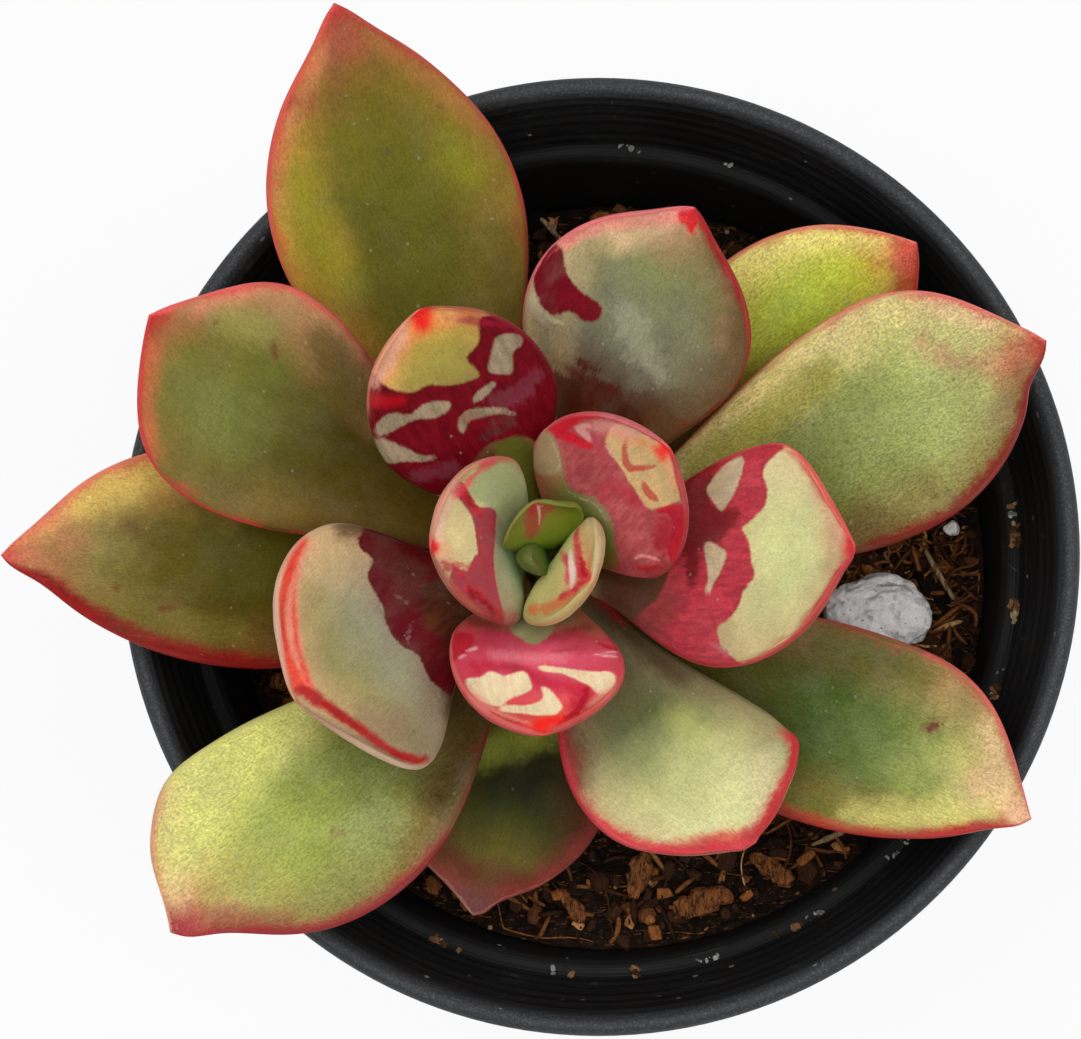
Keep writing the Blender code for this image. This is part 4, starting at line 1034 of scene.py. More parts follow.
COATS["leaf_14_inner_front"] = Coat(
    base=[(0.3, (140, 132, 84)), (0.43, (184, 62, 80)), (0.56, (232, 92, 118)),
        (0.68, (232, 84, 108)), (0.82, (240, 90, 92)), (0.94, (240, 86, 76))],
    rim=(226, 106, 96), far_rim_painted_light=(244, 134, 120), tip=(236, 30, 26), under=(206, 84, 96),
    slot="leaf_mottled", rim_width=0.28, rim_inset=0.2, rim_strength=0.52, blush_width=1.2,
    blush_strength=0.35, tip_reach=1.8, grain=0.2, bloom=0.04, left=((206, 66, 84), 0.5),
    right=((214, 60, 80), 0.5), swells=[(1, 0, 4, (0, 0.35, 0))]).with_marks(
    wash(206, 26, 62, (0.62, -0.75, 0.9), (0.6, -0.3, 0.7), (0.7, 0.1, 0.9), (0.76, 0.5, 0.9),
        (0.86, 0.55, 0.8), strength=0.75, softness=0.8),
    wash(255, 170, 176, (0.55, -0.5, 0.6), (0.56, 0.3, 0.7), strength=0.35, softness=0.9),
    wash(132, 46, 38, (0.33, -0.85, 0.9), (0.38, -0.6, 0.7), strength=0.7, softness=0.8),
    wash(130, 40, 34, (0.33, 0.75, 0.8), (0.38, 0.5, 0.6), strength=0.7, softness=0.8),
    Mark((176, 60, 74), [[(0.4, -0.6, 0.4), (0.42, 0, 0.35), (0.4, 0.6, 0.5)], [(0.52, 0.2, 0.1),
        (0.5, 0.45, 0.25), (0.51, 0.6, 0.1)], [(0.6, -0.4, 0.2), (0.61, -0.2, 0.2)]], ragged=0.3,
        streaks=0.3, softness=0.4, strength=0.7, turn=90),
    Mark((190, 22, 48), [[(0.42, -1), (0.43, -0.8), (0.5, -0.77), (0.55, -0.86), (0.6, -1),
        (0.5, -1.05)], [(0.47, 0.8, 0.2), (0.5, 0.9, 0.4), (0.52, 1, 0.2)], [(0.76, 0.6, 0.2),
        (0.84, 0.62, 0.38), (0.9, 0.62, 0.42), (0.95, 0.5, 0.2)]], ragged=0.15, softness=0.2,
        strength=0.9),
    Mark((255, 240, 194), [[(0.7, -0.92), (0.68, -0.74), (0.645, -0.62), (0.645, -0.51),
        (0.66, -0.42), (0.64, -0.27), (0.64, -0.13), (0.715, -0.08), (0.745, -0.14), (0.77, -0.31),
        (0.8, -0.5), (0.83, -0.66), (0.8, -0.92)], [(0.6, 0.05), (0.615, 0.25), (0.645, 0.5),
        (0.67, 0.72), (0.69, 0.87), (0.755, 0.95), (0.83, 0.95), (0.81, 0.77), (0.76, 0.66),
        (0.71, 0.5), (0.665, 0.35), (0.645, 0.22), (0.625, 0.05)], [(0.725, 0.04), (0.73, 0.12),
        (0.77, 0.2), (0.815, 0.28), (0.855, 0.33), (0.89, 0.28), (0.89, 0.1), (0.88, -0.15),
        (0.865, -0.4), (0.86, -0.7), (0.83, -0.62), (0.82, -0.4), (0.82, -0.2), (0.805, -0.03),
        (0.775, 0.06)]], second=(250, 214, 176), ragged=0.05, streaks=0.06),
    Mark((240, 196, 196), [[(0.53, -0.83, 0.08), (0.51, -0.73, 0.2)], [(0.58, -0.93, 0.08),
        (0.56, -0.87, 0.16)], [(0.55, 0.68, 0.04), (0.57, 0.85, 0.2), (0.585, 0.95, 0.1)],
        [(0.535, 0.8, 0.04), (0.545, 0.95, 0.15)]], ragged=0.04, streaks=0.05, strength=0.9),
    Mark((255, 166, 146), [[(0.82, 0.9, 0.6), (0.88, 0.85, 0.5)], [(0.8, -0.95, 0.7),
        (0.88, -0.8, 0.6), (0.94, -0.5, 0.4)]], ragged=0.2, softness=0.5, strength=0.7),
    Mark((150, 148, 104), [[(0.38, -0.36), (0.44, -0.2), (0.468, -0.08), (0.462, 0.03),
        (0.43, 0.13), (0.38, 0.22), (0.25, 0.2), (0.25, -0.36)]], softness=0.25, ragged=0.1),
    Mark((255, 36, 26), [[(0.96, -0.25, 0.6), (0.94, 0, 0.9), (0.925, 0.3, 0.7)]], ragged=0.25,
        softness=0.7, strength=0.95),
    Mark((226, 30, 50), [[(0.95, -0.6, 0.3), (0.93, -0.8, 0.4), (0.88, -0.95, 0.3)]], ragged=0.2,
        softness=0.3, strength=0.8),
    wash(188, 8, 26, (0.94, 0.85, 0.4), (0.92, 0.7, 0.4), strength=0.8, softness=0.4))
COATS["leaf_15_heart_right_back"] = Coat(
    base=[(0.3, (118, 130, 48)), (0.4, (140, 142, 76)), (0.47, (166, 146, 112)),
        (0.6, (192, 92, 90)), (0.85, (212, 112, 104))],
    rim=(244, 136, 140), far_rim_painted_light=(200, 74, 78), tip=(252, 42, 42), under=(232, 140, 142),
    slot="leaf_mottled", rim_width=0.25, rim_strength=0.45, blush_width=1, blush_strength=0.25,
    tip_reach=1.5, grain=0.3, bloom=0.04, left=((228, 84, 100), 0.5),
    right=((176, 50, 60), 0.5)).with_marks(
    Mark((184, 76, 84), [[(0.62, 1.15), (0.57, 0.83), (0.51, 0.66), (0.45, 0.57), (0.4, 0.45),
        (0.395, 0.35), (0.44, 0.2), (0.48, 0.03), (0.46, -0.17), (0.4, -0.33), (0.31, -0.55),
        (0.2, -0.85), (0.2, -1.15), (0.97, -1.15), (0.97, 1.15)]], second=(206, 104, 106),
        ragged=0.15, streaks=0.35, softness=0.2),
    Mark((178, 160, 118), [[(0.56, 1.1), (0.54, 0.8), (0.48, 0.66), (0.42, 0.6), (0.3, 0.9),
        (0.4, 1.15)]], softness=0.3, ragged=0.15, strength=0.85),
    Mark((226, 28, 56), [[(0.6, 0.95, 0.25), (0.66, 0.92, 0.5), (0.75, 0.95, 0.35),
        (0.85, 0.97, 0.2)], [(0.62, 0.87, 0.5), (0.65, 0.7, 0.5), (0.68, 0.58, 0.35)],
        [(0.885, -0.9), (0.8, -0.58), (0.725, -0.51), (0.775, -0.66), (0.75, -0.8), (0.66, -0.84),
        (0.62, -0.92), (0.6, -1.08), (0.75, -1.15), (0.88, -1.15)], [(0.36, -0.85, 0.3),
        (0.44, -0.88, 0.35), (0.52, -0.93, 0.25)]], second=(178, 20, 44), ragged=0.1, streaks=0.12,
        softness=0.18, strength=0.92),
    Mark((240, 196, 138), [[(0.765, 0.55), (0.83, 0.7), (0.93, 0.85), (0.985, 0.3), (0.985, -0.3),
        (0.94, -0.65), (0.9, -0.9), (0.855, -0.7), (0.725, -0.47), (0.68, -0.33), (0.69, -0.12),
        (0.695, 0.01), (0.71, 0.12), (0.725, 0.35)]], second=(216, 188, 130), ragged=0.08,
        streaks=0.1, softness=0.2),
    Mark((255, 176, 172), [[(0.69, 0.85), (0.74, 0.87), (0.775, 0.83), (0.735, 0.73), (0.7, 0.6),
        (0.68, 0.62), (0.68, 0.72)], [(0.4, -0.7, 0.1), (0.46, -0.73, 0.2), (0.54, -0.87, 0.15)],
        [(0.74, 0.48, 0.15), (0.72, 0.3, 0.12)]], ragged=0.06, streaks=0.1, softness=0.2,
        strength=0.85),
    Mark((206, 76, 66), [[(0.845, 0.46, 0.15), (0.79, 0.3, 0.35), (0.755, 0.17, 0.45),
        (0.745, 0.08, 0.4)], [(0.75, 0.1, 0.35), (0.79, 0.02, 0.32), (0.84, -0.05, 0.26),
        (0.875, -0.1, 0.1)], [(0.755, -0.18, 0.35), (0.745, -0.28, 0.6), (0.76, -0.4, 0.35)]],
        second=(220, 100, 84), ragged=0.06, streaks=0.08, softness=0.16, strength=0.9),
    Mark((240, 24, 52), [[(0.58, 0.98, 0.4), (0.64, 0.92, 0.8), (0.72, 0.95, 0.7),
        (0.84, 0.98, 0.3)], [(0.6, 0.86, 0.6), (0.64, 0.72, 0.7), (0.68, 0.58, 0.4)]],
        second=(214, 40, 60), ragged=0.25, streaks=0.2, softness=0.4, strength=0.85),
    Mark((164, 58, 66), [[(0.5, 0.45, 0.1), (0.58, 0.52, 0.22), (0.66, 0.45, 0.1)],
        [(0.5, 0.15, 0.08), (0.6, 0.25, 0.18), (0.69, 0.28, 0.06)], [(0.5, -0.3, 0.08),
        (0.6, -0.25, 0.2), (0.67, -0.2, 0.08)], [(0.46, 0.35, 0.06), (0.52, 0.3, 0.12),
        (0.58, 0.38, 0.06)]], ragged=0.2, streaks=0.3, softness=0.25, strength=0.6),
    Mark((255, 158, 106), [[(0.8, 0.62, 0.5), (0.88, 0.45, 0.6), (0.93, 0.2, 0.7)],
        [(0.94, -0.3, 0.5), (0.92, -0.7, 0.4)]], ragged=0.4, softness=0.7, strength=0.55),
    Mark((255, 34, 40), [[(0.975, 0.1, 0.7), (0.95, 0, 0.8)]], ragged=0.25, softness=0.7,
        strength=0.95),
    Mark((148, 74, 70), [[(0.6, 1, 0.05), (0.56, 0.83, 0.1), (0.5, 0.66, 0.12), (0.44, 0.57, 0.1),
        (0.4, 0.45, 0.1), (0.395, 0.35, 0.1), (0.44, 0.2, 0.1), (0.47, 0.03, 0.08),
        (0.45, -0.17, 0.1), (0.4, -0.33, 0.1), (0.31, -0.55, 0.08)]], ragged=0.06, streaks=0,
        softness=0.1, strength=0.6),
    Mark((206, 200, 150), [[(0.54, 0.9, 0.1), (0.48, 0.68, 0.14), (0.42, 0.62, 0.1)],
        [(0.37, 0.4, 0.06), (0.4, 0.22, 0.12), (0.44, 0.04, 0.1), (0.42, -0.15, 0.1)]], ragged=0.06,
        streaks=0.1, softness=0.15, strength=0.7),
    wash(210, 34, 68, (0.5, 0.05, 0.4), (0.6, 0.05, 0.7), (0.66, -0.3, 0.6), strength=0.45,
        softness=0.8),
    wash(255, 176, 168, (0.74, 0.8, 0.6), (0.82, 0.74, 0.8), (0.9, 0.65, 0.8), strength=0.6,
        softness=0.7),
    wash(180, 26, 50, (0.6, -0.78, 0.9), (0.7, -0.74, 1.2), (0.8, -0.78, 0.9), strength=0.75,
        softness=0.6),
    wash(158, 48, 50, (0.4, -0.93, 0.7), (0.56, -0.95, 0.7), strength=0.7, softness=0.6),
    wash(214, 62, 88, (0.74, 0.72, 0.35), (0.7, 0.52, 0.4), (0.66, 0.38, 0.3), strength=0.7,
        softness=0.4))
COATS["leaf_16_heart_left"] = Coat(
    base=[(0.2, (136, 166, 102)), (0.4, (164, 184, 136)), (0.54, (184, 164, 132)),
        (0.7, (230, 220, 160)), (0.85, (244, 218, 156)), (0.95, (250, 190, 150))],
    rim=(168, 72, 66), far_rim_painted_light=(250, 124, 128), tip=(240, 40, 56), under=(236, 160, 150),
    slot="leaf_mottled", rim_width=0.28, rim_strength=0.45, blush_width=1.2, blush_strength=0.3,
    tip_reach=1.2, grain=0.25, bloom=0.08, left=((160, 124, 98), 0.6),
    right=((184, 204, 138), 0.6), swells=[(0.3, 0.7, 3.2, (1.5, -0.3, 0.2)),
    (0.15, 0.2, 2.4, (0.5, 0, 0))]).with_marks(
    Mark((188, 200, 144), [[(0.8, -0.85), (0.7, -1), (0.5, -1.15), (0.3, -0.9), (0.42, -0.3),
        (0.56, -0.36), (0.66, -0.45), (0.76, -0.6)]], softness=0.3, ragged=0.2),
    Mark((188, 68, 80), [[(0.88, -0.92), (0.83, -0.86), (0.755, -0.55), (0.675, -0.4),
        (0.55, -0.37), (0.525, -0.21), (0.515, 0.02), (0.525, 0.25), (0.515, 0.58), (0.47, 0.85),
        (0.42, 1.15), (0.7, 1.15), (0.92, 1.15), (0.9, 0.6), (0.82, 0.45), (0.75, 0.42),
        (0.7, 0.25), (0.665, 0.2), (0.68, 0), (0.695, -0.1), (0.73, -0.3), (0.8, -0.5),
        (0.86, -0.74)]], second=(168, 72, 84), ragged=0.06, streaks=0.08, softness=0.16),
    Mark((220, 50, 66), [[(0.87, -0.85, 0.3), (0.8, -0.64, 0.45), (0.73, -0.44, 0.4),
        (0.66, -0.3, 0.3)], [(0.87, 0.42, 0.2), (0.83, 0.5, 0.3), (0.79, 0.56, 0.15)],
        [(0.8, 0.72, 0.2), (0.7, 0.75, 0.45), (0.62, 0.82, 0.45), (0.55, 0.88, 0.25),
        (0.48, 0.92, 0.3)]], second=(156, 20, 34), ragged=0.1, softness=0.2, strength=0.9),
    Mark((216, 122, 92), [[(0.92, 0.9, 0.5), (0.84, 0.98, 0.6), (0.76, 1, 0.5), (0.66, 1.02, 0.3)],
        [(0.72, -0.97, 0.6), (0.62, -1, 0.5), (0.52, -1, 0.3)]], ragged=0.15, softness=0.4,
        strength=0.75),
    Mark((196, 116, 112), [[(0.4, 0.95, 1), (0.3, 0.97, 0.8)]], softness=0.7, ragged=0.3,
        strength=0.5),
    Mark((246, 30, 44), [[(0.985, 0, 0.5), (0.96, 0.1, 0.55)]], ragged=0.2, softness=0.5,
        strength=0.9),
    wash(255, 216, 188, (0.88, -0.88, 0.5), (0.93, -0.6, 0.8), (0.95, -0.3, 0.6), strength=0.75,
        softness=0.7),
    wash(250, 86, 100, (0.86, -0.78, 0.45), (0.8, -0.8, 0.5), (0.73, -0.92, 0.45),
        (0.66, -0.97, 0.4), strength=0.75, softness=0.45),
    wash(198, 58, 74, (0.73, 0.4, 0.6), (0.84, 0.42, 0.6), (0.93, 0.45, 0.5), strength=0.8,
        softness=0.4),
    wash(150, 14, 34, (0.76, 0.75, 0.4), (0.66, 0.8, 0.5), (0.56, 0.92, 0.4), strength=0.8,
        softness=0.4),
    wash(150, 54, 44, (0.35, 0.95, 0.8), (0.55, 0.97, 0.7), strength=0.6, softness=0.8),
    wash(255, 242, 176, (0.86, -0.42, 0.8), (0.85, -0.15, 0.9), (0.8, 0.05, 0.6), strength=0.6,
        softness=0.8))
COATS["leaf_17_heart_right_front"] = Coat(
    base=[(0.3, (196, 206, 130)), (0.5, (214, 212, 134)), (0.68, (222, 204, 138)),
        (0.82, (234, 178, 124)), (0.93, (234, 122, 82))],
    rim=(218, 216, 164), far_rim_painted_light=(206, 190, 130), tip=(240, 62, 50), under=(216, 216, 162),
    slot="leaf_mottled", rim_width=0.5, rim_strength=0.7, blush_width=1, blush_strength=0.08,
    tip_reach=1.2, grain=0.2, bloom=0.05, left=((222, 206, 146), 0.7),
    right=((172, 184, 104), 0.7), swells=[(0.5, 0, 40, (-0.3, 0.75, 0)),
    (0.4, -0.8, 4, (-0.9, 0.3, 0.1)), (0.5, 0.8, 2.2, (0.1, 0.3, 0.2))]).with_marks(
    wash(214, 214, 158, (0.5, 0.9, 0.6), (0.62, 0.75, 0.7), (0.72, 0.7, 0.5), softness=0.7),
    wash(228, 160, 100, (0.55, 0.78, 0.4), (0.68, 0.72, 0.5), (0.8, 0.6, 0.45), softness=0.5),
    wash(222, 122, 72, (0.92, -0.42, 0.4), (0.84, -0.64, 0.6), (0.7, -0.76, 0.6), (0.55, -0.8, 0.4),
        strength=0.85, softness=0.5),
    wash(208, 206, 126, (0.55, -0.3, 1), (0.68, -0.35, 1), strength=0.7, softness=0.8),
    Mark((240, 84, 96), [[(0.52, 0.66, 0.3), (0.62, 0.55, 0.6), (0.72, 0.4, 0.7), (0.8, 0.22, 0.65),
        (0.88, 0.08, 0.6), (0.96, 0, 0.5)], [(0.47, 0.28, 0.15), (0.54, 0.24, 0.35),
        (0.62, 0.2, 0.45), (0.7, 0.05, 0.4), (0.76, -0.15, 0.35)], [(0.93, -0.1, 0.4),
        (0.88, -0.35, 0.6), (0.8, -0.5, 0.4)]], second=(206, 36, 56), ragged=0.2, streaks=0.2,
        softness=0.35, strength=0.92),
    # painted highlight: a near-white streak beside the red stroke
    Mark((255, 232, 222), [[(0.6, 0.36, 0.2), (0.66, 0.25, 0.35), (0.72, 0.12, 0.42),
        (0.78, -0.03, 0.4), (0.82, -0.2, 0.3), (0.84, -0.33, 0.12)]], softness=0.25, ragged=0.12),
    wash(196, 14, 40, (0.78, 0.36, 0.3), (0.86, 0.2, 0.35), (0.92, 0.08, 0.3), strength=0.8,
        softness=0.3))
COATS["leaf_18_heart_back"] = Coat(
    base=[(0.3, (100, 126, 24)), (0.6, (112, 130, 32)), (0.8, (124, 128, 40)),
        (0.95, (140, 122, 60))],
    rim=(150, 158, 84), far_rim_painted_light=(136, 150, 70), tip=(176, 90, 70), under=(112, 136, 50),
    slot="leaf_bud", rim_width=0.25, rim_strength=0.7, blush_width=0.5, blush_strength=0.15,
    tip_reach=0.8, grain=0.2, bloom=0.03, flecks=0.2, left=((98, 120, 34), 0.6),
    right=((82, 110, 8), 0.7), swells=[(0.7, -1, 2.6, (0.3, 0.9, 0.2)),
    (0.7, 1, 2.6, (-0.2, -1, -0.2)), (0.95, 0, 2.2, (-0.1, 0.5, 0)),
    (0.5, 0.5, 3, (-0.2, -0.6, 0))]).with_marks(
    Mark((158, 68, 52), [[(1, 0.3), (0.93, 0.55), (0.8, 0.45), (0.67, 0.38), (0.64, 0.2),
        (0.7, 0.05), (0.8, -0.1), (0.83, -0.4), (0.93, -0.65)]], softness=0.4, ragged=0.15,
        strength=0.85),
    Mark((232, 168, 160), [[(0.97, 0, 0.05), (0.91, -0.03, 0.13), (0.83, 0, 0.1),
        (0.74, 0.06, 0.04)], [(0.92, -0.04, 0.1), (0.93, -0.3, 0.05)]], softness=0.08, ragged=0.02,
        streaks=0, strength=0.85),
    Mark((178, 40, 50), [[(0.97, 0.2, 0.3), (0.93, 0.32, 0.35), (0.88, 0.25, 0.2)]], ragged=0.15,
        softness=0.25, strength=0.8))
COATS["leaf_19_bud"] = Coat(
    base=[(0.3, (70, 104, 28)), (0.6, (78, 108, 34)), (0.9, (100, 114, 56))],
    rim=(104, 120, 58), far_rim_painted_light=(96, 114, 50), tip=(150, 140, 100), under=(92, 114, 46),
    slot="leaf_bud", spread=(2.5, 1.2), swells=[(0.6, 0, 20, (0.1, 0.6, 0.5))], rim_width=0.15,
    blush_strength=0.1, tip_reach=0.5, grain=0.3, bloom=0.05, flecks=0.1)


# ---------------------------------------------------------------- the pot

POT_HEIGHT = 88
LEDGE_HEIGHT = 74
MOUTH_SHIFT = (-0.42, 0.31)  # thin plastic: the mouth stands a little out of true
LEDGE_SHIFT = (-0.35, 0.26)
MOUTH_GROWTH = 0.006
DRAIN_HOLES = 8
DRAIN_HOLE_RADIUS = 3.5
DRAIN_CIRCLE_RADIUS = 23
FLOOR_LIFT = 2
RING_SPACING = 1.1  # between the rings moulded into the inner wall
LEDGE_RING_SPACING = 0.8


def pot_section():
    """The pot's half section as (radius, height) points, from its underside to the floor's top."""
    points, faces = solid_points("nursery_pot")
    near = neighbours_of(points, faces)
    in_plane = {i for i, p in enumerate(points) if abs(p[1]) < 0.01 and p[0] > 0}
    section = [min(in_plane, key=lambda i: points[i][0] + 100 * points[i][2])]
    while onward := sorted(near[section[-1]] & in_plane - set(section)):
        section.append(min(onward, key=lambda j: math.dist(points[j], points[section[-1]])))
    line = points[section][:, [0, 2]]
    return np.concatenate([line[:1] * (0, 1), line, line[-1:] * (0, 1)])


def fine_section(section, spacing=0.2):
    """The section with soft corners and fine moulded rings, close points where it shows."""
    run = np.append(0, np.cumsum(np.linalg.norm(np.diff(section, axis=0), axis=1)))
    places = np.linspace(0, run[-1], int(run[-1] / spacing))
    line = np.column_stack([np.interp(places, run, section[:, i]) for i in (0, 1)])
    for _ in range(8):
        line[1:-1] = (line[:-2] + 2 * line[1:-1] + line[2:]) / 4
    radius, height = line.T
    inner = smooth_step(44.0, 44.4, radius) * smooth_step(73.6, 74.6, height)
    inner *= 1 - smooth_step(86.2, 87.0, height)
    inner *= np.arange(len(line)) > np.argmax(height)
    line[:, 0] -= 0.15 * inner * np.sin(height * 2 * math.pi / RING_SPACING)
    ledge = smooth_step(43.4, 43.8, radius) * (1 - smooth_step(45.0, 45.4, radius))
    ledge *= (np.abs(height - LEDGE_HEIGHT) < 1.5) & (np.arange(len(line)) > np.argmax(height))
    line[:, 1] -= 0.1 * ledge * np.sin(radius * 2 * math.pi / LEDGE_RING_SPACING)
    shown = ((height > 72) & (radius > 41)) | (np.arange(len(line)) % 9 == 0)
    shown |= (height < 4.5) & (np.arange(len(line)) % 5 == 0)
    shown[[0, -1]] = True
    return line[shown]


def build_pot(finish, sides=168):
    """The nursery pot, turned from its solid's section, with its drain holes cut through."""
    line = fine_section(pot_section())
    turns = np.linspace(0, 2 * math.pi, sides + 1)[:-1]
    wobble = 1 + 0.0012 * np.sin(3 * turns + 1.0)
    rings = []
    for r, z in line[1:-1]:
        swell, high = 1 + MOUTH_GROWTH * z / POT_HEIGHT, z / POT_HEIGHT
        x = r * swell * wobble * np.cos(turns) + MOUTH_SHIFT[0] * high
        y = r * swell * wobble * np.sin(turns) + MOUTH_SHIFT[1] * high
        rings.append(np.column_stack([x, y, z + 0 * turns]))
    points = np.concatenate(rings + [[(0, 0, line[0][1])], [(0, 0, line[-1][1])]])
    faces = grid_faces(len(rings), sides)
    faces += end_faces(sides, len(points) - 2, len(points) - 1, (len(rings) - 1) * sides)
    pot = mesh_piece("pot_shell", points, faces, finish, ("nursery_pot",), sharp=42)
    holes = bmesh.new()
    radius = DRAIN_HOLE_RADIUS * MM
    for k in range(DRAIN_HOLES):
        turn = Matrix.Rotation(math.radians(360 / DRAIN_HOLES * (k + 0.5)), 4, "Z")
        turn = turn @ Matrix.Translation((DRAIN_CIRCLE_RADIUS * MM, 0, FLOOR_LIFT * MM))
        bmesh.ops.create_cone(holes, cap_ends=True, segments=28, radius1=radius, radius2=radius,
                              depth=6 * MM, matrix=turn)
    mesh = bpy.data.meshes.new("drain hole cutters")
    holes.to_mesh(mesh)
    holes.free()
    cutters = bpy.data.objects.new("drain hole cutters", mesh)
    bpy.context.scene.collection.objects.link(cutters)
    cut = pot.modifiers.new("drain holes", "BOOLEAN")
    cut.operation, cut.object = "DIFFERENCE", cutters
    settle(pot)
    bpy.data.objects.remove(cutters)
    return pot


def settle(piece):
    """Applies a piece's modifiers to its mesh."""
    graph = bpy.context.evaluated_depsgraph_get()
    mesh = bpy.data.meshes.new_from_object(piece.evaluated_get(graph), depsgraph=graph)
    piece.modifiers.clear()
    piece.data = mesh


def pot_material():
    """Dark recycled plastic, with painted shade making it blackest inside and painted light on the
    lip: scuffed in arcs, scratched, and dotted with lime.
    """
    made, make, shader = new_material("pot plastic", specular=0.3)
    place = make.millimetres()
    parts = make.add("ShaderNodeSeparateXYZ", {0: place}).outputs
    x, y = make.plus(parts[0], -MOUTH_SHIFT[0]), make.minus(parts[1], MOUTH_SHIFT[1])
    flat = make.add("ShaderNodeCombineXYZ", {0: x, 1: y}).outputs[0]
    radius = make.add("ShaderNodeVectorMath", {0: flat}, operation="LENGTH").outputs["Value"]
    outward = make.add("ShaderNodeVectorMath", {0: flat}, operation="NORMALIZE").outputs[0]
    normal = make.add("ShaderNodeNewGeometry").outputs["Normal"]
    facing = make.add("ShaderNodeVectorMath", {0: normal, 1: outward}, operation="DOT_PRODUCT")
    facing = facing.outputs["Value"]
    angle = make.times(make.math("ARCTAN2", y, x), 48.0)
    around = make.add("ShaderNodeCombineXYZ", {0: angle, 1: radius, 2: parts[2]}).outputs[0]
    cloud = make.noise(place, 0.07, 4.0, 0.6)
    grain = make.noise(place, 2.6, 3.0, 0.6)
    arcs = make.noise(make.stretch(around, (0.09, 2.6, 2.6)), 1.0, 4.0, 0.7)
    slant = make.spin(around, 0.9)
    lines = make.noise(make.stretch(slant, (0.16, 3.4, 0.6)), 1.0, 3.0, 0.55)
    worn = make.step(cloud, 0.46, 0.66)
    scratches = make.times(make.step(lines, 0.68, 0.76), worn)
    scuffs = make.times(make.step(arcs, 0.58, 0.74), make.step(cloud, 0.4, 0.6, 0.25, 1.0))
    dust = make.times(make.step(make.noise(place, 0.7, 5.0, 0.75), 0.52, 0.8), worn)
    lip = make.step(radius, 47.9, 48.3)
    lip = make.times(lip, make.step(parts[2], 82.4, 83.2))
    # painted shade: every face not turned outward, the inner wall and ledge above all, is near
    # black, darker than the same plastic outside
    colour = make.blend(make.step(facing, 0.2, 0.5), srgb(9, 9, 9), srgb(30, 31, 33))
    # painted light: the lip is lighter than the wall below, as its top catches the light
    colour = make.blend(lip, colour, srgb(46, 48, 51))
    powder = make.step(make.noise(place, 4.5, 2.0, 0.6), 0.46, 0.72, 0.0, 0.38)
    colour = make.blend(make.times(powder, lip), colour, srgb(104, 108, 110))
    colour = make.blend(make.times(scuffs, 0.16), colour, srgb(108, 112, 114))
    colour = make.blend(make.times(dust, 0.2), colour, srgb(120, 116, 108))
    colour = make.blend(make.times(scratches, 0.5), colour, srgb(150, 152, 152))
    fleck, chance = make.flecks(make.stretch(around, (0.6, 1.0, 1.0)), 0.8, 0, 0.8, 0.2, 0.6)
    fleck = make.times(fleck, make.step(cloud, 0.4, 0.6, 0.3, 1.0))
    colour = make.blend(make.times(fleck, 0.6), colour,
                        make.blend(chance[1], srgb(120, 100, 76), srgb(176, 174, 166)))
    make.put(shader.inputs["Base Color"], colour)
    rough = make.plus(make.step(cloud, 0.3, 0.7, 0.42, 0.56), make.times(scuffs, 0.15))
    inside = make.minus(make.step(facing, 0.2, 0.5, 1.0, 0.0), lip, clamp=True)
    rough = make.plus(rough, make.times(make.minus(lip, inside), 0.1))
    rough = make.plus(rough, make.times(inside, 0.28))
    rough = make.plus(rough, make.times(dust, 0.35), clamp=True)
    make.put(shader.inputs["Roughness"], rough)
    height = make.plus(make.times(grain, 0.35), make.times(arcs, 0.5))
    height = make.plus(height, make.times(make.math("MAXIMUM", fleck, scratches), 0.6))
    make.put(shader.inputs["Normal"], bump(make, height, 0.08, 0.6))
    return made


# ---------------------------------------------------------------- soil and what lies on it

def soil_top():
    """The soil's plane, as its height at the axis, its rise to +X and its rise to +Y, and then
    its edge's angles and radii."""
    lowest_top, edge_from = 58, 40.5
    points, _ = solid_points("soil")
    top = points[points[:, 2] > lowest_top]
    table = np.column_stack([np.ones(len(top)), top[:, :2]])
    plane = np.linalg.lstsq(table, top[:, 2], rcond=None)[0]
    reach = np.hypot(top[:, 0], top[:, 1])
    edge = top[reach > edge_from]
    angles = np.arctan2(edge[:, 1], edge[:, 0])
    order = np.argsort(angles)
    return plane, angles[order], np.hypot(edge[:, 0], edge[:, 1])[order]


SOIL_PLANE, SOIL_ANGLES, SOIL_RADII = soil_top()


def soil_height(x, y):
    return SOIL_PLANE[0] + SOIL_PLANE[1] * x + SOIL_PLANE[2] * y


def soil_edge(angle):
    """The soil's radius in one direction."""
    return np.interp(angle, SOIL_ANGLES, SOIL_RADII, period=2 * math.pi)


def soil_bumps(x, y):
    """How far the crumbly top stands off its plane."""
    place = np.stack([x, y, 0 * x], axis=-1)
    lumps = 0.8 * soft_noise(place, 4.6, 70, 2) + 0.75 * np.abs(soft_noise(place, 1.7, 72, 2))
    return lumps + 0.3 * soft_noise(place, 0.7, 74) - 0.7


def soil_surface(x, y):
    """The height of the crumbly top at one place."""
    return float(soil_height(x, y) + soil_bumps(np.array(x), np.array(y)))


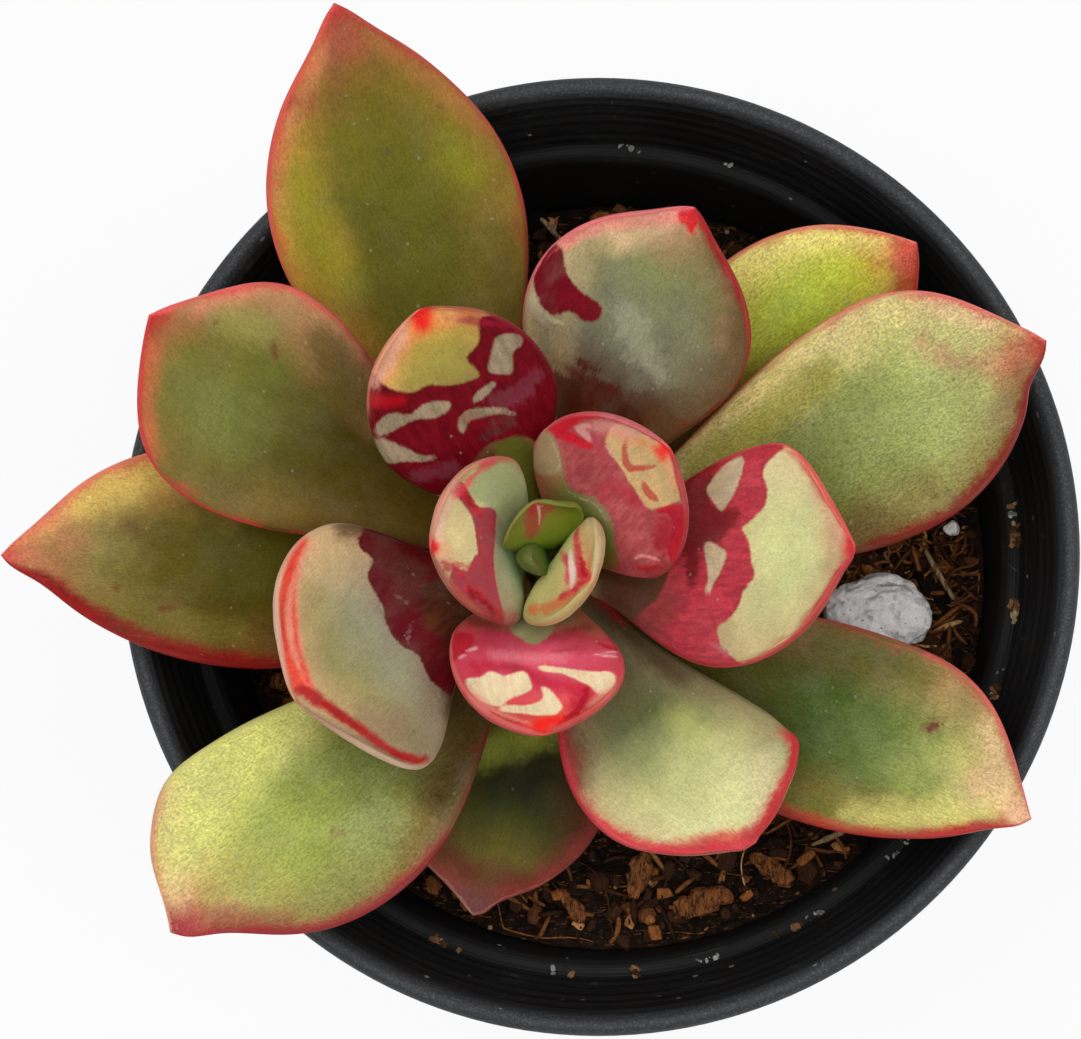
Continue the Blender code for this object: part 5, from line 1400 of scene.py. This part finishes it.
def build_soil(finish, sides=230, rows=92):
    """The potting mix: a crumbly top, and plain sides down to the pot's floor."""
    turns = np.linspace(-math.pi, math.pi, sides + 1)[:-1]
    edge = soil_edge(turns)
    shares = np.linspace(0, 1, rows + 1)[1:] ** 0.8
    x, y = (edge * trig(turns) * shares[:, None] for trig in (np.cos, np.sin))
    calm = 1 - 0.75 * smooth_step(0.96, 1.0, shares)[:, None]
    z = soil_height(x, y) + soil_bumps(x, y) * calm
    rings = list(np.stack([x, y, z], axis=-1)[::-1])
    low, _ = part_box("soil")
    floor, wall = low.z / MM, 34.0
    foot = np.column_stack([wall * np.cos(turns), wall * np.sin(turns), floor + 0 * turns])
    points = np.concatenate([foot] + rings + [[(0, 0, floor)], [(0, 0, soil_height(0, 0))]])
    rise = points[:, 2] - soil_height(points[:, 0], points[:, 1])
    faces = grid_faces(rows + 1, sides)
    faces += end_faces(sides, len(points) - 2, len(points) - 1, rows * sides)
    mesh_piece("soil_bed", points, faces, finish, ("soil",), fields={"rise": rise})


def soil_spots(count, seed, inner=9.0, outer=0.985, sector=None):
    """Random places on the soil's top, clear of the stem and the pot's wall. A sector is two
    angles in degrees."""
    rng = random.Random(seed)
    spots = []
    while len(spots) < count:
        angle, share = rng.uniform(-math.pi, math.pi), math.sqrt(rng.random()) * outer
        if sector and not sector[0] < math.degrees(angle) < sector[1]:
            continue
        radius = share * soil_edge(angle)
        x, y = radius * math.cos(angle), radius * math.sin(angle)
        if math.dist((x, y), STEM) > inner:
            spots.append((x, y, soil_surface(x, y)))
    return spots


def ball(detail):
    """A unit ball's points and triangles."""
    builder = bmesh.new()
    bmesh.ops.create_icosphere(builder, subdivisions=detail, radius=1)
    points = np.array([v.co[:] for v in builder.verts])
    faces = [tuple(v.index for v in f.verts) for f in builder.faces]
    builder.free()
    return points, faces


def scatter(name, spots, seed, sizes, flatness, detail, finish, tilt=25):
    """Many irregular crumbs as one mesh, each with its own tint."""
    rng = random.Random(seed)
    unit, unit_faces = ball(detail)
    points, faces, tints = [], [], []
    for n, spot in enumerate(spots):
        size = rng.uniform(*sizes) * rng.uniform(0.7, 1.0)
        shape = unit * (1 + 0.42 * soft_noise(unit + 9 * n, 0.9, seed)[:, None])
        spans = (size, size * rng.uniform(0.45, 0.9), size * rng.uniform(*flatness))
        shape = np.clip(shape, -0.72, 0.78) * spans
        turn = Matrix.Rotation(rng.uniform(0, 2 * math.pi), 3, "Z")
        turn = turn @ Matrix.Rotation(math.radians(rng.uniform(-tilt, tilt)), 3, "X")
        turn = turn @ Matrix.Rotation(math.radians(rng.uniform(-tilt, tilt)), 3, "Y")
        first = len(points) * len(unit)
        points.append(shape @ np.array(turn).T + np.array(spot) + (0, 0, 0.15 * size))
        faces += [tuple(first + i for i in f) for f in unit_faces]
        tints += [rng.random()] * len(unit)
    points = np.concatenate(points)
    return mesh_piece(name, points, faces, finish, fields={"tint": tints}, sharp=50)


FIBRE_STEP = 0.8
FIBRE_SIDES = 5


def fibres(name, count, seed, finish, lengths=(4, 17), radii=(0.07, 0.17), sector=None,
           bend=0.1):
    """Thin curled fibres lying on the soil, as one mesh of fine tubes."""
    rng = random.Random(seed)
    points, faces, tints = [], [], []
    for spot in soil_spots(count, seed + 1, outer=0.94, sector=sector):
        length, radius = rng.uniform(*lengths), rng.uniform(*radii)
        heading, turn, curl = rng.uniform(0, 2 * math.pi), 0.0, rng.uniform(-0.16, 0.16)
        steps = int(length / FIBRE_STEP) + 3
        x, y, _ = spot
        lift, rise = rng.uniform(0, 0.5), rng.choice((0, 0, 0, rng.uniform(0.3, 1.6)))
        line = []
        for k in range(steps):
            radius_here = math.hypot(x, y)
            limit = soil_edge(math.atan2(y, x)) - 0.6
            if radius_here > limit:
                x, y = x * limit / radius_here, y * limit / radius_here
            share = k / (steps - 1)
            line.append((x, y, soil_surface(x, y) + 0.12 + lift + rise * math.sin(math.pi * share)))
            turn = 0.8 * turn + rng.gauss(0, bend) + 0.2 * curl
            heading += turn
            x, y = x + FIBRE_STEP * math.cos(heading), y + FIBRE_STEP * math.sin(heading)
        line = np.array(line)
        line[1:-1] = (line[:-2] + 2 * line[1:-1] + line[2:]) / 4
        first = len(points)
        tangents = np.gradient(line, axis=0)
        tangents /= np.linalg.norm(tangents, axis=1, keepdims=True)
        sides = np.cross(tangents, (0, 0, 1))
        sides /= np.maximum(np.linalg.norm(sides, axis=1, keepdims=True), 1e-9)
        ups = np.cross(sides, tangents)
        for k in range(steps):
            taper = radius * (0.45 + 0.55 * math.sin(math.pi * (k + 0.6) / (steps + 0.2)))
            for a in range(FIBRE_SIDES):
                spin = 2 * math.pi * a / FIBRE_SIDES
                arm = math.cos(spin) * sides[k] + math.sin(spin) * ups[k]
                points.append(line[k] + taper * arm)
        faces += [tuple(first + i for i in f) for f in grid_faces(steps, FIBRE_SIDES)]
        faces.append(tuple(first + i for i in reversed(range(FIBRE_SIDES))))
        faces.append(tuple(first + (steps - 1) * FIBRE_SIDES + i for i in range(FIBRE_SIDES)))
        tints += [rng.random()] * (steps * FIBRE_SIDES)
    mesh_piece(name, points, faces, finish, fields={"tint": tints})


def ledge_spots(places, seed):
    """Places on the pot's inner ledge, as (angle in degrees, spread, how many)."""
    rng = random.Random(seed)
    spots = []
    for turn, spread, count in places:
        for _ in range(count):
            angle, radius = math.radians(turn + rng.gauss(0, 0.5) * spread), rng.uniform(44.6, 45.5)
            x = radius * math.cos(angle) + LEDGE_SHIFT[0]
            y = radius * math.sin(angle) + LEDGE_SHIFT[1]
            spots.append((x, y, LEDGE_HEIGHT))
    return spots


def roughened(name, node, finish, levels, dents, growth=(1, 1, 1), sharp=None, lobes=None):
    """A solid rebuilt with a finer surface.

    Dents are (size, depth) noises, or three numbers for pits. Lobes are the (size, depth) of the
    rounded lumps that it is covered in.
    """
    coarse, faces = solid_points(node)
    middle = (coarse.min(0) + coarse.max(0)) / 2
    coarse = middle + (coarse - middle) * growth
    faces = [tuple(int(i) for i in f) for f in faces]
    piece = mesh_piece(name, coarse, faces, finish, (node,), sharp=sharp)
    soften = piece.modifiers.new("soften", "SUBSURF")
    soften.levels = soften.render_levels = levels
    settle(piece)
    mesh = piece.data
    points = np.array([v.co[:] for v in mesh.vertices]) / MM
    normals = np.array([v.normal[:] for v in mesh.vertices])
    push = 0
    for number, (size, depth, *pits) in enumerate(dents):
        noise = soft_noise(points, size, 300 + number, 2)
        dent = -depth * smooth_step(pits[0], pits[0] + 0.25, noise) if pits else depth * noise
        push = push + dent
    if lobes:
        size, depth = lobes
        count = int(4 * (np.ptp(points, axis=0).max() / size) ** 2)
        seeds = points[random.Random(51).sample(range(len(points)), count)]
        push = push - depth * np.minimum(nearest_gaps(points, seeds) / size, 1.0) ** 2
    points = points + normals * np.asarray(push)[:, None]
    mesh.vertices.foreach_set("co", (points * MM).astype(np.float32).ravel())
    mesh.update()
    return piece


def crumb_material(name, dark, light, pale, roughness=0.9, fibre=False):
    """Dry plant matter: each crumb or fibre has its own shade between three browns."""
    made, make, shader = new_material(name, roughness, 0.12)
    place = make.millimetres()
    tint = make.field("tint")
    colour = make.blend(make.step(tint, 0.1, 0.75), dark, light)
    colour = make.blend(make.step(tint, 0.82, 1.0), colour, pale)
    stretch = (0.8, 0.8, 0.8) if fibre else (2.4, 0.6, 1.2)
    grain = make.noise(make.stretch(place, stretch), 2.0, 4.0, 0.65)
    gain = make.step(grain, 0.3, 0.7, 0.55, 1.3)
    make.put(shader.inputs["Base Color"], make.shade(colour, gain))
    make.put(shader.inputs["Normal"], bump(make, grain, 0.2, 0.8))
    return made


def soil_material():
    """Dark moist peat, with browner and blacker crumbs, fibres and specks of grit in it, and
    painted shade in its low places.
    """
    made, make, shader = new_material("potting mix", specular=0.1)
    place = make.millimetres()
    patch = make.noise(place, 0.16, 3.0, 0.6)
    crumbs = make.noise(place, 1.1, 5.0, 0.7)
    threads = make.noise(make.stretch(place, (0.5, 2.6, 1.0)), 1.2, 3.0, 0.6, 1.2)
    colour = make.blend(make.step(crumbs, 0.36, 0.64), srgb(8, 5, 4), srgb(42, 25, 14))
    # painted shade: the mix is darkened in its low places, between the lumps
    rise = make.plus(make.field("rise"), make.times(crumbs, 0.8))
    colour = make.blend(make.step(rise, -0.9, 0.5, 0.92, 0.0), colour, srgb(10, 6, 4))
    colour = make.blend(make.step(patch, 0.4, 0.65, 0.0, 0.55), colour, srgb(30, 20, 15))
    colour = make.blend(make.step(threads, 0.6, 0.7, 0.0, 0.8), colour, srgb(150, 98, 50))
    distance, chance = make.cells(place, 0.8)
    speck = make.times(make.step(distance, 0.16, 0.24, 1.0, 0.0), make.step(chance[0], 0.86, 0.9))
    colour = make.blend(make.times(speck, 0.8), colour, srgb(170, 140, 96))
    make.put(shader.inputs["Base Color"], colour)
    make.put(shader.inputs["Roughness"], make.step(crumbs, 0.3, 0.7, 0.95, 0.75))
    height = make.plus(crumbs, make.times(threads, 0.6))
    make.put(shader.inputs["Normal"], bump(make, height, 0.5, 0.9))
    return made


def perlite_material():
    """Expanded perlite: chalky white, painted grey in its pits as shade, a little stained by the
    mix.
    """
    made, make, shader = new_material("perlite", 0.92)
    place = make.millimetres()
    pits = make.noise(place, 1.6, 4.0, 0.65)
    stain = make.noise(place, 0.35, 3.0, 0.6)
    # painted shade: grey where the pits sink in, from the same noise that dents the surface
    colour = make.blend(make.step(pits, 0.28, 0.5), srgb(238, 233, 229), srgb(254, 252, 250))
    colour = make.blend(make.step(stain, 0.6, 0.85, 0.0, 0.3), colour, srgb(226, 212, 194))
    dots = make.noise(place, 1.7, 3.0, 0.6)
    colour = make.blend(make.step(dots, 0.65, 0.71, 0.0, 0.85), colour, srgb(84, 64, 52))
    make.put(shader.inputs["Base Color"], colour)
    make.put(shader.inputs["Normal"], bump(make, make.plus(pits, make.times(dots, 0.3)), 0.35))
    return made


def bark_material(name, dark, light, across=0.5):
    """Woody bits with long grain: dark cracks between paler ridges."""
    made, make, shader = new_material(name, 0.85, 0.15)
    place = make.millimetres()
    grain = make.noise(make.stretch(place, (2.2, across, 2.2)), 1.3, 4.0, 0.65, 0.8)
    patch = make.noise(place, 0.5, 3.0, 0.6)
    colour = make.blend(make.step(grain, 0.35, 0.62), dark, light)
    shadow = tuple(0.5 * v for v in light)
    colour = make.blend(make.step(patch, 0.45, 0.7, 0.0, 0.5), colour, shadow)
    make.put(shader.inputs["Base Color"], colour)
    make.put(shader.inputs["Normal"], bump(make, grain, 0.25, 0.9))
    return made


# ---------------------------------------------------------------- building the plant and the pot

stem_low, stem_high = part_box("stem")
STEM = tuple((stem_low + stem_high)[:2])
STEM = (STEM[0] / 2 / MM, STEM[1] / 2 / MM)

for number, (node, coat) in enumerate(COATS.items()):
    build_leaf(node, coat, STEM, 11 * number + 3)

build_pot(pot_material())
build_soil(soil_material())
CRUMB = crumb_material("crumbs", srgb(14, 8, 6), srgb(58, 34, 20), srgb(160, 98, 50))
CHIP = crumb_material("bark crumbs", srgb(50, 27, 14), srgb(150, 90, 46), srgb(206, 150, 92), 0.85)
FIBRE = crumb_material("coir", srgb(50, 28, 14), srgb(128, 78, 38), srgb(208, 158, 100), 0.75, True)
scatter("soil_crumbs", soil_spots(1500, 21), 22, (0.5, 1.9), (0.5, 0.9), 1, CRUMB)
scatter("soil_grit", soil_spots(1500, 23), 24, (0.2, 0.7), (0.6, 1.0), 1, CRUMB)
scatter("bark_crumbs", soil_spots(330, 25), 26, (0.6, 2.1), (0.25, 0.5), 2, CHIP, 40)
fibres("coir_fibres", 90, 27, FIBRE)
fibres("coir_shreds", 700, 29, FIBRE, (1.2, 4.0), (0.12, 0.36))
fibres("coir_tangle", 900, 31, FIBRE, (1.5, 5.0), (0.12, 0.3), (-32, 36), 0.3)

BARK = bark_material("bark", srgb(36, 20, 12), srgb(142, 86, 44))
DEBRIS = crumb_material("ledge debris", srgb(66, 44, 28), srgb(140, 102, 68), srgb(200, 176, 142),
                        0.85)
LIME = crumb_material("lime scale", srgb(120, 122, 118), srgb(168, 170, 164), srgb(214, 214, 206))
CRUMB_HEAPS = [(3, 1.3, 24), (-7, 1.5, 20), (-19, 0.8, 14), (-94, 0.4, 4), (-85, 0.8, 6),
               (5, 3.0, 8), (-112, 3.0, 8), (-62, 3.0, 8)]
LIME_SPOTS = [(6, 0.8, 4), (-16, 0.6, 2), (-97, 0.7, 3), (-74, 2.0, 6), (87, 1.0, 4), (85, 0.7, 2),
              (72, 0.6, 2), (-59, 1.5, 4), (-46, 3.0, 6)]
scatter("ledge_crumbs", ledge_spots(CRUMB_HEAPS, 43), 44, (0.22, 0.95), (0.3, 0.6), 1, DEBRIS,
        40)
scatter("ledge_lime", ledge_spots(LIME_SPOTS, 45), 46, (0.2, 0.7), (0.15, 0.35), 1, LIME,
        30)
TWIG = bark_material("dry twig", srgb(92, 66, 42), srgb(176, 148, 110), 0.3)
for number in range(1, 7):
    roughened(f"bark_chip_{number}_rough", f"bark_chip_{number}", BARK, 3,
              [(2.2, 0.45), (0.9, 0.2), (0.4, 0.08), (1.3, 0.5, 0.3)])
PERLITE = perlite_material()
roughened("perlite_lump_rough", "perlite_lump", PERLITE, 3,
          [(3.4, 0.5), (0.7, 0.1), (0.9, 0.4, 0.4)], (1.22, 1.04, 1.12), lobes=(1.5, 0.75))
roughened("perlite_crumb_rough", "perlite_crumb", PERLITE, 3,
          [(1.2, 0.12), (0.6, 0.12, 0.4)])
for where in ("back", "front", "right"):
    roughened(f"twig_{where}_rough", f"twig_{where}", TWIG, 2,
              [(0.9, 0.06), (0.4, 0.04)])
STEM_SKIN = bark_material("stem skin", srgb(74, 62, 34), srgb(132, 122, 66), 0.6)
roughened("stem_bark", "stem", STEM_SKIN, 2, [(1.4, 0.12), (0.6, 0.06)])


# ---------------------------------------------------------------- floor, light and camera

SKY_FILL = 0.17  # how bright the white surroundings are as a light
LAMPS = (("overhead", (-0.16, 0.1, 1.15), 1.2, 11.3), ("side", (0.7, -0.08, 0.95), 0.5, 2.8))
LAMP_TARGET = (0, 0, 0.09)


def studio():
    """A plain white floor and soft light from overhead, with a weaker lamp on the right."""
    half, drop = 1.6, -0.00005
    mesh = bpy.data.meshes.new("floor")
    corners = [(-half, -half, drop), (half, -half, drop), (half, half, drop), (-half, half, drop)]
    mesh.from_pydata(corners, [], [(0, 1, 2, 3)])
    floor = bpy.data.objects.new("floor", mesh)
    bpy.context.scene.collection.objects.link(floor)
    made = bpy.data.materials.new("floor")
    made.use_nodes = True
    make = Recipe(made.node_tree)
    nodes = made.node_tree.nodes
    shader = nodes["Principled BSDF"]
    shader.inputs["Base Color"].default_value = (0.86, 0.86, 0.86, 1)
    shader.inputs["Roughness"].default_value = 0.9
    rays = make.add("ShaderNodeLightPath").outputs
    seen = make.plus(rays["Is Camera Ray"], rays["Is Glossy Ray"])
    seen = make.plus(seen, rays["Is Transmission Ray"], clamp=True)
    white = make.add("ShaderNodeEmission", {"Color": (1.0, 1.0, 1.0), "Strength": 1.0}).outputs[0]
    share = make.times(seen, 0.9)
    mixed = make.add("ShaderNodeMixShader", {0: share, 1: shader.outputs[0], 2: white}).outputs[0]
    make.put(nodes["Material Output"].inputs["Surface"], mixed)
    mesh.materials.append(made)

    world = bpy.data.worlds.new("studio")
    bpy.context.scene.world = world
    world.use_nodes = True
    backdrop = world.node_tree.nodes["Background"]
    backdrop.inputs["Color"].default_value = (1, 1, 1, 1)
    # white where it is looked at, and where a gloss shows it near the horizon
    make = Recipe(world.node_tree)
    rays = make.add("ShaderNodeLightPath").outputs
    outlook = make.add("ShaderNodeTexCoord").outputs["Generated"]
    outlook = make.add("ShaderNodeSeparateXYZ", {0: outlook}).outputs[2]
    gloss = make.times(rays["Is Glossy Ray"], make.step(outlook, 0.2, 0.45, 1.0, 0.0))
    seen = make.plus(rays["Is Camera Ray"], rays["Is Transmission Ray"])
    seen = make.plus(seen, gloss, clamp=True)
    make.put(backdrop.inputs["Strength"], make.plus(SKY_FILL, make.times(seen, 1 - SKY_FILL)))

    for name, place, size, watts in LAMPS:
        light = bpy.data.lights.new(name, "AREA")
        light.size = size
        light.energy = watts
        lamp = bpy.data.objects.new(name, light)
        lamp.location = place
        aim = Vector(LAMP_TARGET) - Vector(place)
        lamp.rotation_euler = aim.to_track_quat("-Z", "Y").to_euler()
        bpy.context.scene.collection.objects.link(lamp)


def aim_camera(place, target, lens):
    """The camera looks almost straight down, with the back of the pot at the top."""
    camera = bpy.data.objects.new("camera", bpy.data.cameras.new("camera"))
    bpy.context.scene.collection.objects.link(camera)
    back = (Vector(place) - Vector(target)).normalized()
    right = Vector((0, 1, 0)).cross(back).normalized()
    up = back.cross(right)
    turn = Matrix((right, up, back)).transposed().to_4x4()
    camera.matrix_world = Matrix.Translation(Vector(place) * MM) @ turn
    camera.data.lens = lens
    camera.data.clip_start, camera.data.clip_end = 0.01, 10
    bpy.context.scene.camera = camera


studio()
aim_camera((7.1, -11.9, 428.0), (-6.33, 3.82, 88.0), 108.45)
bpy.context.scene.view_settings.view_transform = "Standard"
